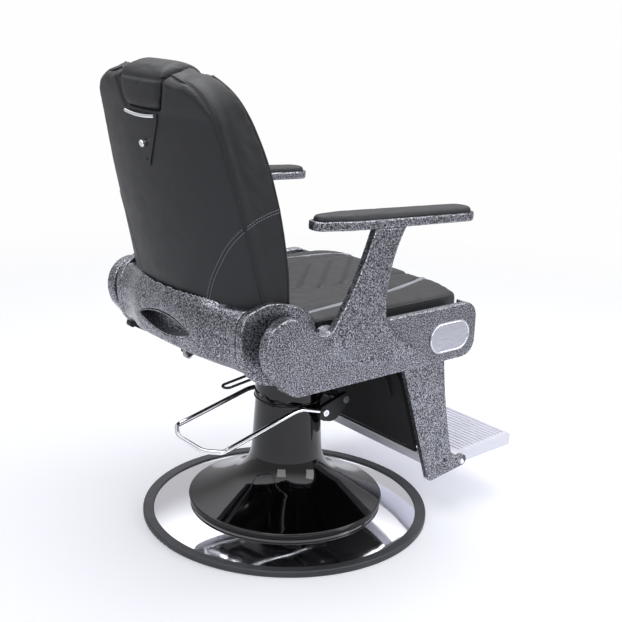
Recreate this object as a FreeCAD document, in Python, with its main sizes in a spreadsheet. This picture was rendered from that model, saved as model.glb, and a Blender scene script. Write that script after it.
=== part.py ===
import FreeCAD, Part
import math
import os
import Sketcher

# Hydraulic barber chair. Millimetres and degrees, +Z up, origin on the floor under the
# column's axis. The chair faces -Y, so the sitter's right-hand side is -X.

Vec = FreeCAD.Vector
Turn = FreeCAD.Rotation
Place = FreeCAD.Placement
ALONG_X = Vec(1, 0, 0)
ALONG_Y = Vec(0, 1, 0)
UP = Vec(0, 0, 1)

SIZES = {
    # round base
    "base_radius": 350, "rim_width": 25, "rim_height": 16, "rim_step": 3, "rim_round": 4,
    "plate_edge": 10, "plate_hub_radius": 100, "plate_hub_top": 22, "plate_hub_slope": 40,
    "cover_sheet": 1.5, "cover_rise": 26.5, "cover_inner_radius": 190, "cover_bow": 4.5,
    # bell and column cover, one spun shell
    "skirt_radius": 236, "skirt_height": 15, "lip_overhang": 2.5, "shell_wall": 3,
    "bell_bend_radius": 135, "bell_bend_z": 95, "bell_flare": 566, "bell_throat": 90,
    "column_foot_radius": 88, "column_foot_z": 155, "column_low_radius": 85,
    "column_low_z": 180, "column_top_radius": 79, "column_top": 297, "column_ease": 180,
    # pump
    "cylinder_radius": 50, "cylinder_bore": 42, "cylinder_top": 292, "cylinder_floor": 12,
    "flange_radius": 92, "flange_thick": 14, "flange_bolts": 6, "flange_pitch_radius": 74,
    "bolt_radius": 5, "bolt_head_radius": 8.5, "bolt_head_height": 7, "bolt_depth": 18,
    "ram_radius": 38, "piston_length": 25, "gland_length": 30, "run_gap": 0.05,
    "bearing_height": 6, "bearing_width": 9,
    # swivelling pump head
    "bush_wall": 4, "sleeve_wall": 10, "sleeve_bottom": 215, "head_radius": 72,
    "head_cap": 24, "head_neck_radius": 60, "head_top": 369, "head_cover_radius": 80.5,
    "head_cover_wall": 2.5, "head_cover_lid": 3, "head_bead": 2.5, "head_gap": 2,
    "mouth_half": 46, "mouth_top": 331, "ear_inner": 30, "ear_thick": 14, "ear_radius": 13,
    "well_floor": 232, "plunger_radius": 7, "plunger_bottom": 248, "plunger_top": 315,
    # pump lever
    "lever_axle_y": -100, "lever_axle_z": 298, "lever_axle_radius": 9, "axle_end": 2,
    "arm_inner": 87, "arm_thick": 13, "arm_hub_radius": 17, "eye_y": -34, "eye_z": 279,
    "arm_rear_y": -22, "arm_rear_z": 283, "arm_rear_half": 10, "arm_keel_z": 256,
    "wire_radius": 6, "bend_y": 36, "bend_z": 301, "elbow_bend": 90, "corner_x": 97,
    "corner_y": 256, "corner_z": 246, "corner_bend": 15, "loop_bow": 29,
    "ferrule_radius": 8, "ferrule_hole": 3.5, "ferrule_length": 7,
    "nose_reach": 38, "nose_width": 16, "nose_gap": 0.7, "nose_radius": 8, "nose_hub": 15,
    # seat mount and frame
    "mount_hub_radius": 58, "mount_gap": 4, "mount_hub_height": 24,
    "mount_plate_half_x": 182, "mount_plate_half_y": 92, "mount_plate_thick": 12,
    "mount_rib": 10, "beam_size": 30, "rail_inner": 150, "rail_front": -262,
    "rail_rear": 165, "front_cross_y": -200, "mid_cross_y": -95, "rear_cross_y": 120,
    "ear_plate": 8, "ear_margin": 20,
    # side housings
    "housing_inner": 275, "housing_outer": 322, "housing_bottom": 441, "housing_top": 571,
    "housing_front": -295, "housing_corner": 37, "heel_y": 222, "lobe_radius": 62,
    "lobe_inner": 292, "disc_gap": 4, "disc_radius": 95, "disc_inner": 263,
    "disc_thick": 20, "pivot_y": 248, "pivot_z": 552, "notch_y": 157, "notch_z": 567,
    "post_rear_y": 140, "post_front_y": -10, "post_top_rear_y": 33,
    "post_top_front_y": -55, "post_rear_arc": 800, "post_front_arc": 290,
    "post_proud": 4, "post_thick": 22,
    "ledge_front": 24, "ledge_depth": 24, "flare_top": 540, "flare_bottom": 457, "flare_shift": 110,
    "flare_rear_y": 155, "flare_front_y": -31, "stub_radius": 12, "stub_depth": 24,
    "washer_radius": 30,
    # armrests
    "armrest_inset": 21, "armrest_half": 37, "armrest_rear": 190, "armrest_front": -264,
    "armrest_taper": 80,
    "tray_thick": 20, "tray_z": 771, "tray_slope": 2.8, "tray_lip": 7, "tray_well": 8,
    "armpad_rise": 10, "armpad_round": 8,
    "badge_half": 62.5, "badge_half_height": 36, "badge_thick": 2.5, "badge_y": -209,
    "badge_z": 499,
    # seat
    "board_half": 240, "board_front": -302, "board_rear": 168, "board_thick": 14,
    "seat_half": 261, "seat_front": -324, "seat_rear": 190, "seat_rear_half": 246,
    "seat_side_z": 571, "seat_crown": 20, "channel_width": 26, "channel_count": 5,
    "channel_puff": 3,
    # legrest
    "leg_pivot_y": -235, "leg_pivot_z": 450, "leg_boss": 25, "leg_inner": 250,
    "leg_thick": 12, "leg_axle_radius": 8, "foot_hinge_y": -349, "foot_hinge_z": 136,
    "foot_lobe": 14, "foot_pin_radius": 5, "foot_pin_length": 34, "leg_lean": 18.3,
    "bar_y": -225, "bar_z": 169, "bar_height": 29, "bar_thick": 18,
    "calf_half": 233, "calf_low": 16, "calf_length": 228, "calf_thick": 45,
    "calf_board": 8, "calf_corner": 22, "calf_board_corner": 25, "hanger_x": 192, "hanger_thick": 6,
    "foot_half": 246, "foot_front_y": -541, "foot_front_low": 127, "foot_front_top": 159,
    "foot_rib_count": 14, "foot_rib_depth": 2.5, "foot_rib_width": 5,
    # recline linkage
    "recline_half": 25, "legrest_half": 32.5, "strut_clear": 1, "crank_radius": 9,
    "crank_thick": 8, "link_inner": 238, "link_thick": 8, "link_half_height": 5,
    "link_pin": 4, "link_eye": 11, "open_gap": 2.5,
    "link_knee_y": -50, "link_knee_z": -28,
    "strut_radius": 13, "strut_bore": 10, "strut_front": -36,
    "strut_rod_radius": 6, "strut_pin_radius": 4, "strut_eye_half": 6,
    "strut_slot_gap": 1.2, "clevis_gap": 6, "clevis_thick": 6, "clevis_y": -51,
    "release_x": -100, "release_y": 150, "release_z": 405, "release_tip_y": 262,
    "release_tip_z": 403, "release_bend_y": 188, "release_bend_z": 413,
    "release_wire": 3, "release_half": 12, "release_hub": 9, "release_pin": 5,
    # backrest, in the leaning frame whose origin is the recline pivot
    "lean": 15.4, "back_low_half": 255, "back_waist_half": 250, "back_waist_z": 196,
    "back_mid_half": 242.5, "back_mid_z": 320, "shoulder_half": 226, "shoulder_z": 444,
    "shoulder_arc": 97, "back_crest": 553, "back_low": 15, "back_depth": 95,
    "back_crown": 13, "front_grow": 13, "front_lift": 26, "board_low": 24,
    "board_inset": 24, "board_gap": 12, "back_board_thick": 8, "bulge_low": 79,
    "bulge_low_z": 40, "bulge_slope": 0.117, "panel_wall": 9, "panel_foot_z": 606,
    "torque_radius": 14, "upright_x": 110, "upright_width": 40,
    "upright_thick": 6, "upright_top": 300,
    # shroud behind the recline pivot
    "shroud_wall": 4, "rim_z": 628, "rim_y": 350, "rim_arc": 462, "shroud_rear_y": 353,
    "shroud_knee_y": 345, "shroud_knee_z": 497, "grip_half": 103, "grip_half_height": 22,
    "grip_z": 541, "grip_wall": 2.5, "grip_floor_y": 318,
    # headrest, in the leaning frame
    "notch_low_z": 478, "notch_low_half": 70, "notch_top_half": 97, "head_gap_side": 3,
    "head_front": -100, "head_rear": 20, "head_top_z": 552, "head_crown": 11,
    "stem_width": 40, "stem_thick": 6, "stem_bottom": 335, "stem_socket": 45,
    "guide_wall": 4, "guide_bottom": 322, "tongue_half": 55, "tongue_tip_half": 13,
    "tongue_tip_z": 360, "tongue_thick": 2.5, "button_z": 410, "button_radius": 8,
    "button_stalk": 4, "button_proud": 10, "button_stroke": 3, "trim_half": 57,
    "trim_radius": 4,
}


class Size:
    """A number together with the sheet formula that gives it."""

    def __init__(self, value, text):
        self.value = float(value)
        self.text = text

    def __float__(self):
        return self.value

    def __neg__(self):
        return Size(-self.value, f"(0 - {self.text})")

    def __add__(self, other):
        return combine(self, "+", other, self.value + float(other))

    def __sub__(self, other):
        return combine(self, "-", other, self.value - float(other))

    def __mul__(self, other):
        return combine(self, "*", other, self.value * float(other))

    def __truediv__(self, other):
        return combine(self, "/", other, self.value / float(other))

    def __radd__(self, other):
        return combine(other, "+", self, float(other) + self.value)

    def __rsub__(self, other):
        return combine(other, "-", self, float(other) - self.value)

    def __rmul__(self, other):
        return combine(other, "*", self, float(other) * self.value)


def formula(item):
    return item.text if isinstance(item, Size) else repr(float(item))


def combine(left, sign, right, value):
    return Size(value, f"({formula(left)} {sign} {formula(right)})")


def sine(angle):
    return Size(math.sin(math.radians(float(angle))), f"sin({formula(angle)})")


def cosine(angle):
    return Size(math.cos(math.radians(float(angle))), f"cos({formula(angle)})")


def tangent(angle):
    return sine(angle) / cosine(angle)


doc = FreeCAD.newDocument("barber_chair")
sheet = doc.addObject("Spreadsheet::Sheet", "sizes")
for row, (alias, number) in enumerate(SIZES.items(), start=1):
    sheet.set(f"A{row}", alias)
    sheet.set(f"B{row}", str(number))
    sheet.setAlias(f"B{row}", alias)
doc.recompute()


class Sheet:
    """The sheet's sizes, each as a number that also carries its formula."""

    def __getattr__(self, alias):
        return Size(sheet.get(alias), "sizes." + alias)


s = Sheet()
nodes = {}
SIDES = (("right", -1), ("left", 1))


def keep(label, thing):
    """Register a finished sub-part under the name that its file gets."""
    thing.Label = label
    nodes[label] = thing
    return thing


def bind(thing, path, item):
    if isinstance(item, Size):
        thing.setExpression(path, item.text)


def put(thing, x=0, y=0, z=0, tilt=0):
    """Place a sub-part: shifted, and turned by tilt degrees about X."""
    spot = Vec(float(x), float(y), float(z))
    thing.Placement = Place(spot, Turn(ALONG_X, float(tilt)))
    for path, item in (("Base.x", x), ("Base.y", y), ("Base.z", z)):
        bind(thing, "Placement." + path, item)
    bind(thing, "Placement.Rotation.Angle", tilt)
    return thing


def lower(a, b):
    """The smaller of two sizes."""
    return a if float(a) < float(b) else b


def arc_between(a, b, radius):
    """The short arc from a to b. It bows to the right of the way from a to b where the
    radius is positive, which is outward on a loop drawn anticlockwise."""
    way = b - a
    if way.Length / 2 > abs(radius):
        raise ValueError(f"radius {radius} is too small for {way.Length} between ends")
    rise = math.sqrt(radius * radius - way.Length ** 2 / 4)
    left = Vec(-way.y, way.x, 0).normalize()
    centre = (a + b) * 0.5 + left * (rise if radius > 0 else -rise)
    start, end = (a, b) if radius > 0 else (b, a)
    first = math.atan2(start.y - centre.y, start.x - centre.x)
    last = math.atan2(end.y - centre.y, end.x - centre.x)
    return Part.ArcOfCircle(Part.Circle(centre, UP, abs(radius)), first, last)


def new_sketch(body, plane, start):
    sketch = body.newObject("Sketcher::SketchObject", "sketch")
    support = next(f for f in body.Origin.OriginFeatures if f.Role == plane)
    sketch.AttachmentSupport = [(support, "")]
    sketch.MapMode = "FlatFace"
    sketch.AttachmentOffset = Place(Vec(0, 0, float(start)), Turn())
    bind(sketch, "AttachmentOffset.Base.z", start)
    return sketch


def outline(body, plane, corners, start=0):
    """A closed sketch on one of the body's planes, start away along its normal. The
    corners go round anticlockwise, each (u, v), or (u, v, radius) where an arc leaves it:
    outward for a positive radius, inward for a negative one."""
    sketch = new_sketch(body, plane, start)
    points = [Vec(float(c[0]), float(c[1]), 0) for c in corners]
    count = len(corners)
    edges, ends, rules, driven = [], [], [], []
    for i, corner in enumerate(corners):
        a, b = points[i], points[(i + 1) % count]
        if len(corner) == 3:
            edges.append(arc_between(a, b, float(corner[2])))
            ends.append((1, 2) if float(corner[2]) > 0 else (2, 1))
        else:
            edges.append(Part.LineSegment(a, b))
            ends.append((1, 2))
    for i in range(count):
        after = (i + 1) % count
        rules.append(Sketcher.Constraint("Coincident", i, ends[i][1], after,
                                         ends[after][0]))
    for i, corner in enumerate(corners):
        for kind, item in (("DistanceX", corner[0]), ("DistanceY", corner[1])):
            driven.append((len(rules), item))
            rules.append(Sketcher.Constraint(kind, -1, 1, i, ends[i][0], float(item)))
        if len(corner) == 3:
            size = corner[2] if float(corner[2]) > 0 else -corner[2]
            driven.append((len(rules), size))
            rules.append(Sketcher.Constraint("Radius", i, float(size)))
    sketch.addGeometry(edges, False)
    sketch.addConstraint(rules)
    for index, item in driven:
        bind(sketch, f"Constraints[{index}]", item)
    return sketch


def circles(body, plane, spots, start=0):
    """A sketch of circles, each (u, v, radius)."""
    sketch = new_sketch(body, plane, start)
    for i, (u, v, radius) in enumerate(spots):
        centre = Vec(float(u), float(v), 0)
        sketch.addGeometry(Part.Circle(centre, UP, float(radius)), False)
        for kind, item in (("DistanceX", u), ("DistanceY", v)):
            rule = Sketcher.Constraint(kind, -1, 1, i, 3, float(item))
            bind(sketch, f"Constraints[{sketch.addConstraint(rule)}]", item)
        rule = Sketcher.Constraint("Radius", i, float(radius))
        bind(sketch, f"Constraints[{sketch.addConstraint(rule)}]", radius)
    return sketch


def settle(body, feature):
    """Make feature the body's tip and check that it was built."""
    body.Tip = feature
    doc.recompute()
    if "Invalid" in feature.State or "Error" in feature.State or feature.Shape.isNull():
        raise RuntimeError(f"{body.Name}: {feature.Name} can't be built")
    return feature


def pad(body, sketch, length):
    """Add material from the sketch's plane along its normal."""
    feature = body.newObject("PartDesign::Pad", "pad")
    feature.Profile = sketch
    feature.Length = float(length)
    bind(feature, "Length", length)
    return settle(body, feature)


def pocket(body, sketch, length):
    """Cut from the sketch's plane along its normal. The cut has to remove material."""
    before = body.Shape.Volume
    feature = body.newObject("PartDesign::Pocket", "pocket")
    feature.Profile = sketch
    feature.Length = float(length)
    feature.Reversed = True
    bind(feature, "Length", length)
    settle(body, feature)
    if body.Shape.Volume > before - 1e-3:
        raise RuntimeError(f"{body.Name}: a pocket removes nothing")
    return feature


def turned(name, corners):
    """A body revolved about Z from corners given as (radius, height)."""
    body = doc.addObject("PartDesign::Body", name)
    sketch = outline(body, "XZ_Plane", corners)
    feature = body.newObject("PartDesign::Revolution", "turned")
    feature.Profile = sketch
    feature.ReferenceAxis = (sketch, ["V_Axis"])
    feature.Angle = 360
    settle(body, feature)
    return body


def prism(name, plane, corners, start, length):
    body = doc.addObject("PartDesign::Body", name)
    pad(body, outline(body, plane, corners, start), length)
    return body


def ring(name, spot, outer, start, length, bore=None):
    """A disc, or a ring where there is a bore, about an axis along X at (y, z)."""
    body = doc.addObject("PartDesign::Body", name)
    pad(body, circles(body, "YZ_Plane", [(spot[0], spot[1], outer)], start), length)
    if bore is not None:
        pocket(body, circles(body, "YZ_Plane", [(spot[0], spot[1], bore)], start), length)
    return body


def repeated(body, feature, sketch, count):
    """Repeat a feature round the sketch's normal."""
    pattern = body.newObject("PartDesign::PolarPattern", "around")
    pattern.Originals = [feature]
    pattern.Axis = (sketch, ["N_Axis"])
    pattern.Angle = 360
    pattern.Occurrences = int(float(count))
    bind(pattern, "Occurrences", count)
    return settle(body, pattern)


def rounded(body, radius, wanted):
    """Fillet the edges of the body for which wanted(edge) holds."""
    base = body.Tip
    names = [f"Edge{i}" for i, edge in enumerate(base.Shape.Edges, start=1) if wanted(edge)]
    feature = body.newObject("PartDesign::Fillet", "rounded")
    feature.Base = (base, names)
    feature.Radius = float(radius)
    bind(feature, "Radius", radius)
    return settle(body, feature)


# Shapes set directly, for forms that no profile gives

def solid(label, shape, leaning=False):
    """A sub-part whose shape is set directly; leaning puts it in the backrest's frame."""
    feature = doc.addObject("Part::Feature", label)
    feature.Shape = shape
    if leaning:
        put(feature, 0, s.pivot_y, s.pivot_z, -s.lean)
    return keep(label, feature)


def at(x, y, z):
    return Vec(float(x), float(y), float(z))


def loop(stops):
    """A closed wire through stops; a pair (stop, middle) starts an arc by the middle."""
    edges = []
    for i, stop in enumerate(stops):
        after = stops[(i + 1) % len(stops)]
        end = after[0] if isinstance(after, tuple) else after
        if isinstance(stop, tuple):
            edges.append(Part.Arc(stop[0], stop[1], end).toShape())
        else:
            edges.append(Part.LineSegment(stop, end).toShape())
    return Part.Wire(edges)


def block(low, high):
    size = high - low
    return Part.makeBox(size.x, size.y, size.z, low)


def rod(radius, a, b):
    """A round bar from a to b."""
    return Part.makeCylinder(float(radius), (b - a).Length, a, b - a)


def strap(x, thick, a, b, radius):
    """A flat bar in a plane of constant X, from x, between points a and b given as (y, z),
    with ends of the given radius."""
    one, two = at(x, a[0], a[1]), at(x, b[0], b[1])
    way = (two - one).normalize() * float(radius)
    side = ALONG_X.cross(way)
    wire = loop([(one + side, one - way), one - side, (two - side, two + way), two + side])
    return Part.Face(wire).extrude(Vec(float(thick), 0, 0))


def bent_path(points, radii):
    """Edges of straight runs through points, with an arc at each inner point."""
    edges, start = [], points[0]
    for i in range(1, len(points) - 1):
        back = (points[i - 1] - points[i]).normalize()
        ahead = (points[i + 1] - points[i]).normalize()
        half = (math.pi - back.getAngle(ahead)) / 2
        radius = float(radii[i - 1])
        a = points[i] + back * (radius * math.tan(half))
        b = points[i] + ahead * (radius * math.tan(half))
        inward = (back + ahead).normalize()
        middle = points[i] + inward * (radius / math.cos(half) - radius)
        edges.append(Part.LineSegment(start, a).toShape())
        edges.append(Part.Arc(a, middle, b).toShape())
        start = b
    edges.append(Part.LineSegment(start, points[-1]).toShape())
    return edges


def swept(edges, radius):
    """A round bar along a chain of edges, flat at both ends."""
    first = edges[0]
    start = first.valueAt(first.FirstParameter)
    way = first.tangentAt(first.FirstParameter)
    circle = Part.Wire([Part.Circle(start, way, float(radius)).toShape()])
    return Part.Wire(edges).makePipeShell([circle], True, False)


def hex_bolt(x, y, seat, down):
    """A hexagon bolt with its head on the face at height seat and its end at down."""
    radius = float(s.bolt_head_radius)
    corners = [Vec(x + radius * math.cos(math.radians(a)),
                   y + radius * math.sin(math.radians(a)), seat) for a in range(0, 361, 60)]
    head = Part.Face(Part.makePolygon(corners))
    height = float(s.bolt_head_height) * (1 if seat > down else -1)
    return head.extrude(Vec(0, 0, height)).fuse(rod(s.bolt_radius, Vec(x, y, seat),
                                                    Vec(x, y, down)))


# The base

plate_radius = s.base_radius - s.rim_width - s.rim_step
cover_edge = s.base_radius - s.rim_width
cover_span = cover_edge - s.cover_inner_radius
cover_chord_squared = cover_span * cover_span + s.cover_rise * s.cover_rise
cover_arc = cover_chord_squared / (8 * s.cover_bow) + s.cover_bow / 2
skirt_inner = s.skirt_radius - s.shell_wall
skirt_foot = (s.plate_edge + s.cover_sheet + s.cover_bow
              + s.cover_rise * (cover_edge - skirt_inner) / cover_span)
lip_z = skirt_foot + s.skirt_height


def base_plate():
    body = turned("base_plate", [
        (0, 0), (plate_radius, 0), (plate_radius, s.plate_edge),
        (s.plate_hub_radius + s.plate_hub_slope, s.plate_edge),
        (s.plate_hub_radius, s.plate_hub_top), (0, s.plate_hub_top)])
    hole_floor = s.plate_hub_top + s.flange_thick - s.bolt_depth
    sketch = circles(body, "XY_Plane", [(s.flange_pitch_radius, 0, s.bolt_radius)],
                     hole_floor)
    cut = pocket(body, sketch, s.bolt_depth)
    repeated(body, cut, sketch, s.flange_bolts)
    keep("base_plate", body)


def rim_ring():
    """The rounded rubber edge round the plate."""
    turn = s.rim_round
    keep("rim_ring", turned("rim_ring", [
        (plate_radius, 0), (s.base_radius - turn, 0, turn), (s.base_radius, turn),
        (s.base_radius, s.rim_height - turn, turn), (s.base_radius - turn, s.rim_height),
        (cover_edge + 2, s.rim_height - 1), (cover_edge, s.rim_height - 2),
        (cover_edge, s.plate_edge), (plate_radius, s.plate_edge)]))


def base_cover():
    """The chromed sheet cover, a shallow dome from the rim to under the bell."""
    low, top = s.plate_edge, s.plate_edge + s.cover_sheet
    keep("base_cover", turned("base_cover", [
        (s.cover_inner_radius, low + s.cover_rise, -cover_arc), (cover_edge, low),
        (cover_edge, top, cover_arc), (s.cover_inner_radius, top + s.cover_rise)]))


def bell_cover():
    """The gloss black bell: skirt, flare and tapering column cover in one shell."""
    wall = s.shell_wall
    lip = s.skirt_radius + s.lip_overhang
    keep("bell_cover", turned("bell_cover", [
        (skirt_inner, skirt_foot), (s.skirt_radius, skirt_foot),
        (s.skirt_radius, lip_z - 7), (lip, lip_z - 4, 4),
        (lip - 4, lip_z + 0.5, -s.bell_flare),
        (s.bell_bend_radius, s.bell_bend_z, -s.bell_throat),
        (s.column_foot_radius, s.column_foot_z, -s.column_ease),
        (s.column_low_radius, s.column_low_z), (s.column_top_radius, s.column_top),
        (s.column_top_radius - wall, s.column_top),
        (s.column_low_radius - wall, s.column_low_z, s.column_ease + wall),
        (s.column_foot_radius - wall, s.column_foot_z - 0.7, s.bell_throat + wall),
        (s.bell_bend_radius - 0.45 * wall, s.bell_bend_z - 0.9 * wall, s.bell_flare + wall),
        (lip - 4 - 0.4 * wall, lip_z + 0.5 - wall), (skirt_inner, lip_z - 5)]))


def pump_cylinder():
    foot = s.plate_hub_top
    floor = foot + s.cylinder_floor
    top = foot + s.flange_thick
    gland = s.cylinder_top - s.gland_length
    bore = s.ram_radius + s.run_gap
    body = turned("pump_cylinder", [
        (0, foot), (s.flange_radius, foot), (s.flange_radius, top),
        (s.cylinder_radius + 8, top), (s.cylinder_radius, top + 8),
        (s.cylinder_radius, s.cylinder_top), (bore, s.cylinder_top), (bore, gland),
        (s.cylinder_bore, gland), (s.cylinder_bore, floor), (0, floor)])
    sketch = circles(body, "XY_Plane", [(s.flange_pitch_radius, 0, s.bolt_radius)], foot)
    repeated(body, pocket(body, sketch, s.flange_thick), sketch, s.flange_bolts)
    keep("pump_cylinder", body)


def cylinder_bolts():
    count = int(float(s.flange_bolts))
    seat = float(s.plate_hub_top + s.flange_thick)
    pitch = float(s.flange_pitch_radius)
    turns = [2 * math.pi * i / count for i in range(count)]
    solid("cylinder_bolts", Part.makeCompound([
        hex_bolt(pitch * math.cos(a), pitch * math.sin(a), seat,
                 seat - float(s.bolt_depth)) for a in turns]))


def bearing_ring():
    """The ring on the cylinder's top on which the head swivels."""
    inner, low = s.cylinder_radius - s.bearing_width, s.cylinder_top
    keep("bearing_ring", turned("bearing_ring", [
        (inner, low), (s.cylinder_radius, low),
        (s.cylinder_radius, low + s.bearing_height), (inner, low + s.bearing_height)]))


# The pump head, which swivels on the cylinder, and its lever

head_bottom = s.cylinder_top + s.bearing_height
head_cap_top = head_bottom + s.head_cap
bush_inner = s.cylinder_radius + s.run_gap
bush_radius = bush_inner + s.bush_wall
sleeve_radius = bush_radius + s.sleeve_wall
axle_spot = (s.lever_axle_y, s.lever_axle_z)
nose_y = s.lever_axle_y + s.nose_reach


def head_bush():
    keep("head_bush", turned("head_bush", [
        (bush_inner, s.sleeve_bottom), (bush_radius, s.sleeve_bottom),
        (bush_radius, s.cylinder_top), (bush_inner, s.cylinder_top)]))


def head_housing():
    """The cast head: a sleeve round the cylinder, a cap over it, and two ears in front
    that carry the lever's axle, with the plunger's well between them."""
    bore = s.ram_radius + s.run_gap
    body = turned("head_housing", [
        (bore, head_bottom), (bush_radius, head_bottom), (bush_radius, s.sleeve_bottom),
        (sleeve_radius, s.sleeve_bottom), (s.head_radius, s.sleeve_bottom + 20),
        (s.head_radius, head_cap_top), (s.head_neck_radius, head_cap_top + 10),
        (s.head_neck_radius, s.head_top), (bore, s.head_top)])
    low = s.column_top + s.head_gap + 1
    y, z, hub = s.lever_axle_y, s.lever_axle_z, s.ear_radius
    reach = s.ear_inner + s.ear_thick
    for start in (s.ear_inner, -reach):
        ear = outline(body, "YZ_Plane", [
            (y, z - hub, hub), (y + hub, z), (y + hub + 2, low), (-s.head_neck_radius, low),
            (-s.head_neck_radius, head_cap_top), (y, z + hub, hub), (y - hub, z, hub)],
            start)
        pad(body, ear, s.ear_thick)
    bore_ends = circles(body, "YZ_Plane", [(y, z, s.lever_axle_radius + s.run_gap)], -reach)
    pocket(body, bore_ends, reach * 2)
    well = circles(body, "XY_Plane", [(0, nose_y, s.plunger_radius + s.run_gap)],
                   s.well_floor)
    pocket(body, well, head_bottom + s.head_cap - s.well_floor)
    slot_rear = nose_y + s.nose_radius + 4
    slot_front = y + 5
    slot = outline(body, "XY_Plane", [
        (-s.ear_inner, slot_front), (s.ear_inner, slot_front), (s.ear_inner, slot_rear),
        (-s.ear_inner, slot_rear)], head_bottom + 1.5)
    pocket(body, slot, s.head_cap + 20)
    keep("head_housing", body)


def head_cover():
    """The black cup over the head, open in front where the ears come out."""
    low = s.column_top + s.head_gap
    outer, inner = s.head_cover_radius, s.head_cover_radius - s.head_cover_wall
    top = s.head_top + s.head_cover_lid
    bead = s.head_bead
    eye = s.ram_radius + 4
    body = turned("head_cover", [
        (inner, low), (outer, low, bead), (outer + bead, low + bead, bead),
        (outer, low + 2 * bead), (outer - 1.5, top - 6, 7), (outer - 7, top), (eye, top),
        (eye, s.head_top), (inner - 4, s.head_top), (inner - 1.5, s.head_top - 3)])
    reach = s.mouth_half
    mouth = outline(body, "XZ_Plane", [
        (-reach, low - 5), (reach, low - 5), (reach, s.mouth_top), (-reach, s.mouth_top)],
        s.head_neck_radius / 2)
    pocket(body, mouth, s.head_cover_radius)
    keep("head_cover", body)


def pump_plunger():
    body = turned("pump_plunger", [
        (0, s.plunger_bottom), (s.plunger_radius, s.plunger_bottom),
        (s.plunger_radius, s.plunger_top - 3), (s.plunger_radius - 2, s.plunger_top),
        (0, s.plunger_top)])
    keep("pump_plunger", put(body, 0, nose_y, 0))


def lever_axle():
    """The axle, with a rocker finger between the ears that goes over the column cover's
    edge and presses the plunger down."""
    y, z = axle_spot
    half = s.arm_inner + s.arm_thick + s.axle_end
    body = ring("lever_axle", axle_spot, s.lever_axle_radius, -half, half * 2)
    side = -s.nose_width / 2
    tip_y, tip_z = nose_y - 4, s.plunger_top + s.nose_gap + s.nose_radius
    finger = outline(body, "YZ_Plane", [
        (y + 4, z + 2), (tip_y - 6, tip_z - 5), (tip_y - 4, tip_z + 6.5),
        (y, z + s.nose_hub - 0.5)], side)
    pad(body, finger, s.nose_width)
    ends = circles(body, "YZ_Plane", [(y, z, s.nose_hub), (tip_y, tip_z, s.nose_radius)],
                   side)
    pad(body, ends, s.nose_width)
    keep("lever_axle", body)


def lever_arms():
    """The cast arms from the axle back to the ends of the rod."""
    y, z = axle_spot
    hub = s.arm_hub_radius
    slope = (s.bend_z - s.arm_rear_z) / (s.bend_y - s.arm_rear_y)
    half = s.arm_rear_half
    for side, sign in SIDES:
        start = s.arm_inner if sign > 0 else -(s.arm_inner + s.arm_thick)
        body = prism(f"lever_arm_{side}", "YZ_Plane", [
            (y, z - hub), (y + 24, s.arm_keel_z + 2, 36), (s.eye_y - 6, s.arm_keel_z, 22),
            (s.arm_rear_y + half * slope, s.arm_rear_z - half),
            (s.arm_rear_y - half * slope, s.arm_rear_z + half),
            (y, z + hub, hub), (y - hub, z, hub)], start, s.arm_thick)
        hole = circles(body, "YZ_Plane", [(y, z, s.lever_axle_radius)], start)
        pocket(body, hole, s.arm_thick)
        keep(f"lever_arm_{side}", body)


def lever_rod():
    """The chromed rod: out of each arm, over a shallow elbow, back, and round behind."""
    x = s.arm_inner + s.arm_thick / 2
    drop = (s.corner_z - s.bend_z) / (s.corner_y - s.bend_y)
    rear = s.corner_y + s.loop_bow
    near = rear - 5
    half = [at(-x, s.arm_rear_y, s.arm_rear_z), at(-x, s.bend_y, s.bend_z),
            at(-s.corner_x, s.corner_y, s.corner_z),
            at(-0.56 * s.corner_x, near, s.corner_z + drop * (near - s.corner_y))]
    points = half + [Vec(-p.x, p.y, p.z) for p in reversed(half)]
    radii = [s.elbow_bend, s.corner_bend, 60]
    solid("lever_rod", swept(bent_path(points, radii + radii[::-1]), s.wire_radius))


def lever_ferrules():
    """The chromed screw rings on the arms' outer faces, which clamp the rod."""
    rings = []
    for _, sign in SIDES:
        face = at(sign * (s.arm_inner + s.arm_thick), s.eye_y, s.eye_z)
        out = Vec(sign, 0, 0)
        end = face + out * float(s.ferrule_length)
        ring_shape = rod(s.ferrule_radius, face, end)
        rings.append(ring_shape.cut(rod(s.ferrule_hole, face + out * 2, end)))
    solid("lever_ferrules", Part.makeCompound(rings))


# The ram, the seat mount and the frame

mount_bottom = s.head_top + s.head_cover_lid + s.mount_gap
frame_bottom = mount_bottom + s.mount_hub_height + s.mount_plate_thick + 4
frame_middle = frame_bottom + s.beam_size
frame_top = frame_middle + s.beam_size
strut_z = frame_top - s.strut_clear - s.strut_radius
crank_reach = (s.pivot_z - strut_z) * 2 / (1 + cosine(s.recline_half))
crank_drop = crank_reach * cosine(s.recline_half)
crank_y = s.pivot_y + crank_reach * sine(s.recline_half)
crank_z = s.pivot_z - crank_drop
# the piston's rear place leaves it 4 mm off the barrel's closed end when fully reclined
strut_travel = crank_reach * sine(s.recline_half) * 2
strut_tail = s.strut_front + 12 + strut_travel
strut_mouth = strut_tail + 30


def piston_rod():
    foot = s.plate_hub_top + s.cylinder_floor
    piston = s.cylinder_bore - s.run_gap
    top = mount_bottom + s.mount_hub_height
    keep("piston_rod", turned("piston_rod", [
        (0, foot), (piston, foot), (piston, foot + s.piston_length),
        (s.ram_radius, foot + s.piston_length), (s.ram_radius, top), (0, top)]))


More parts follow.
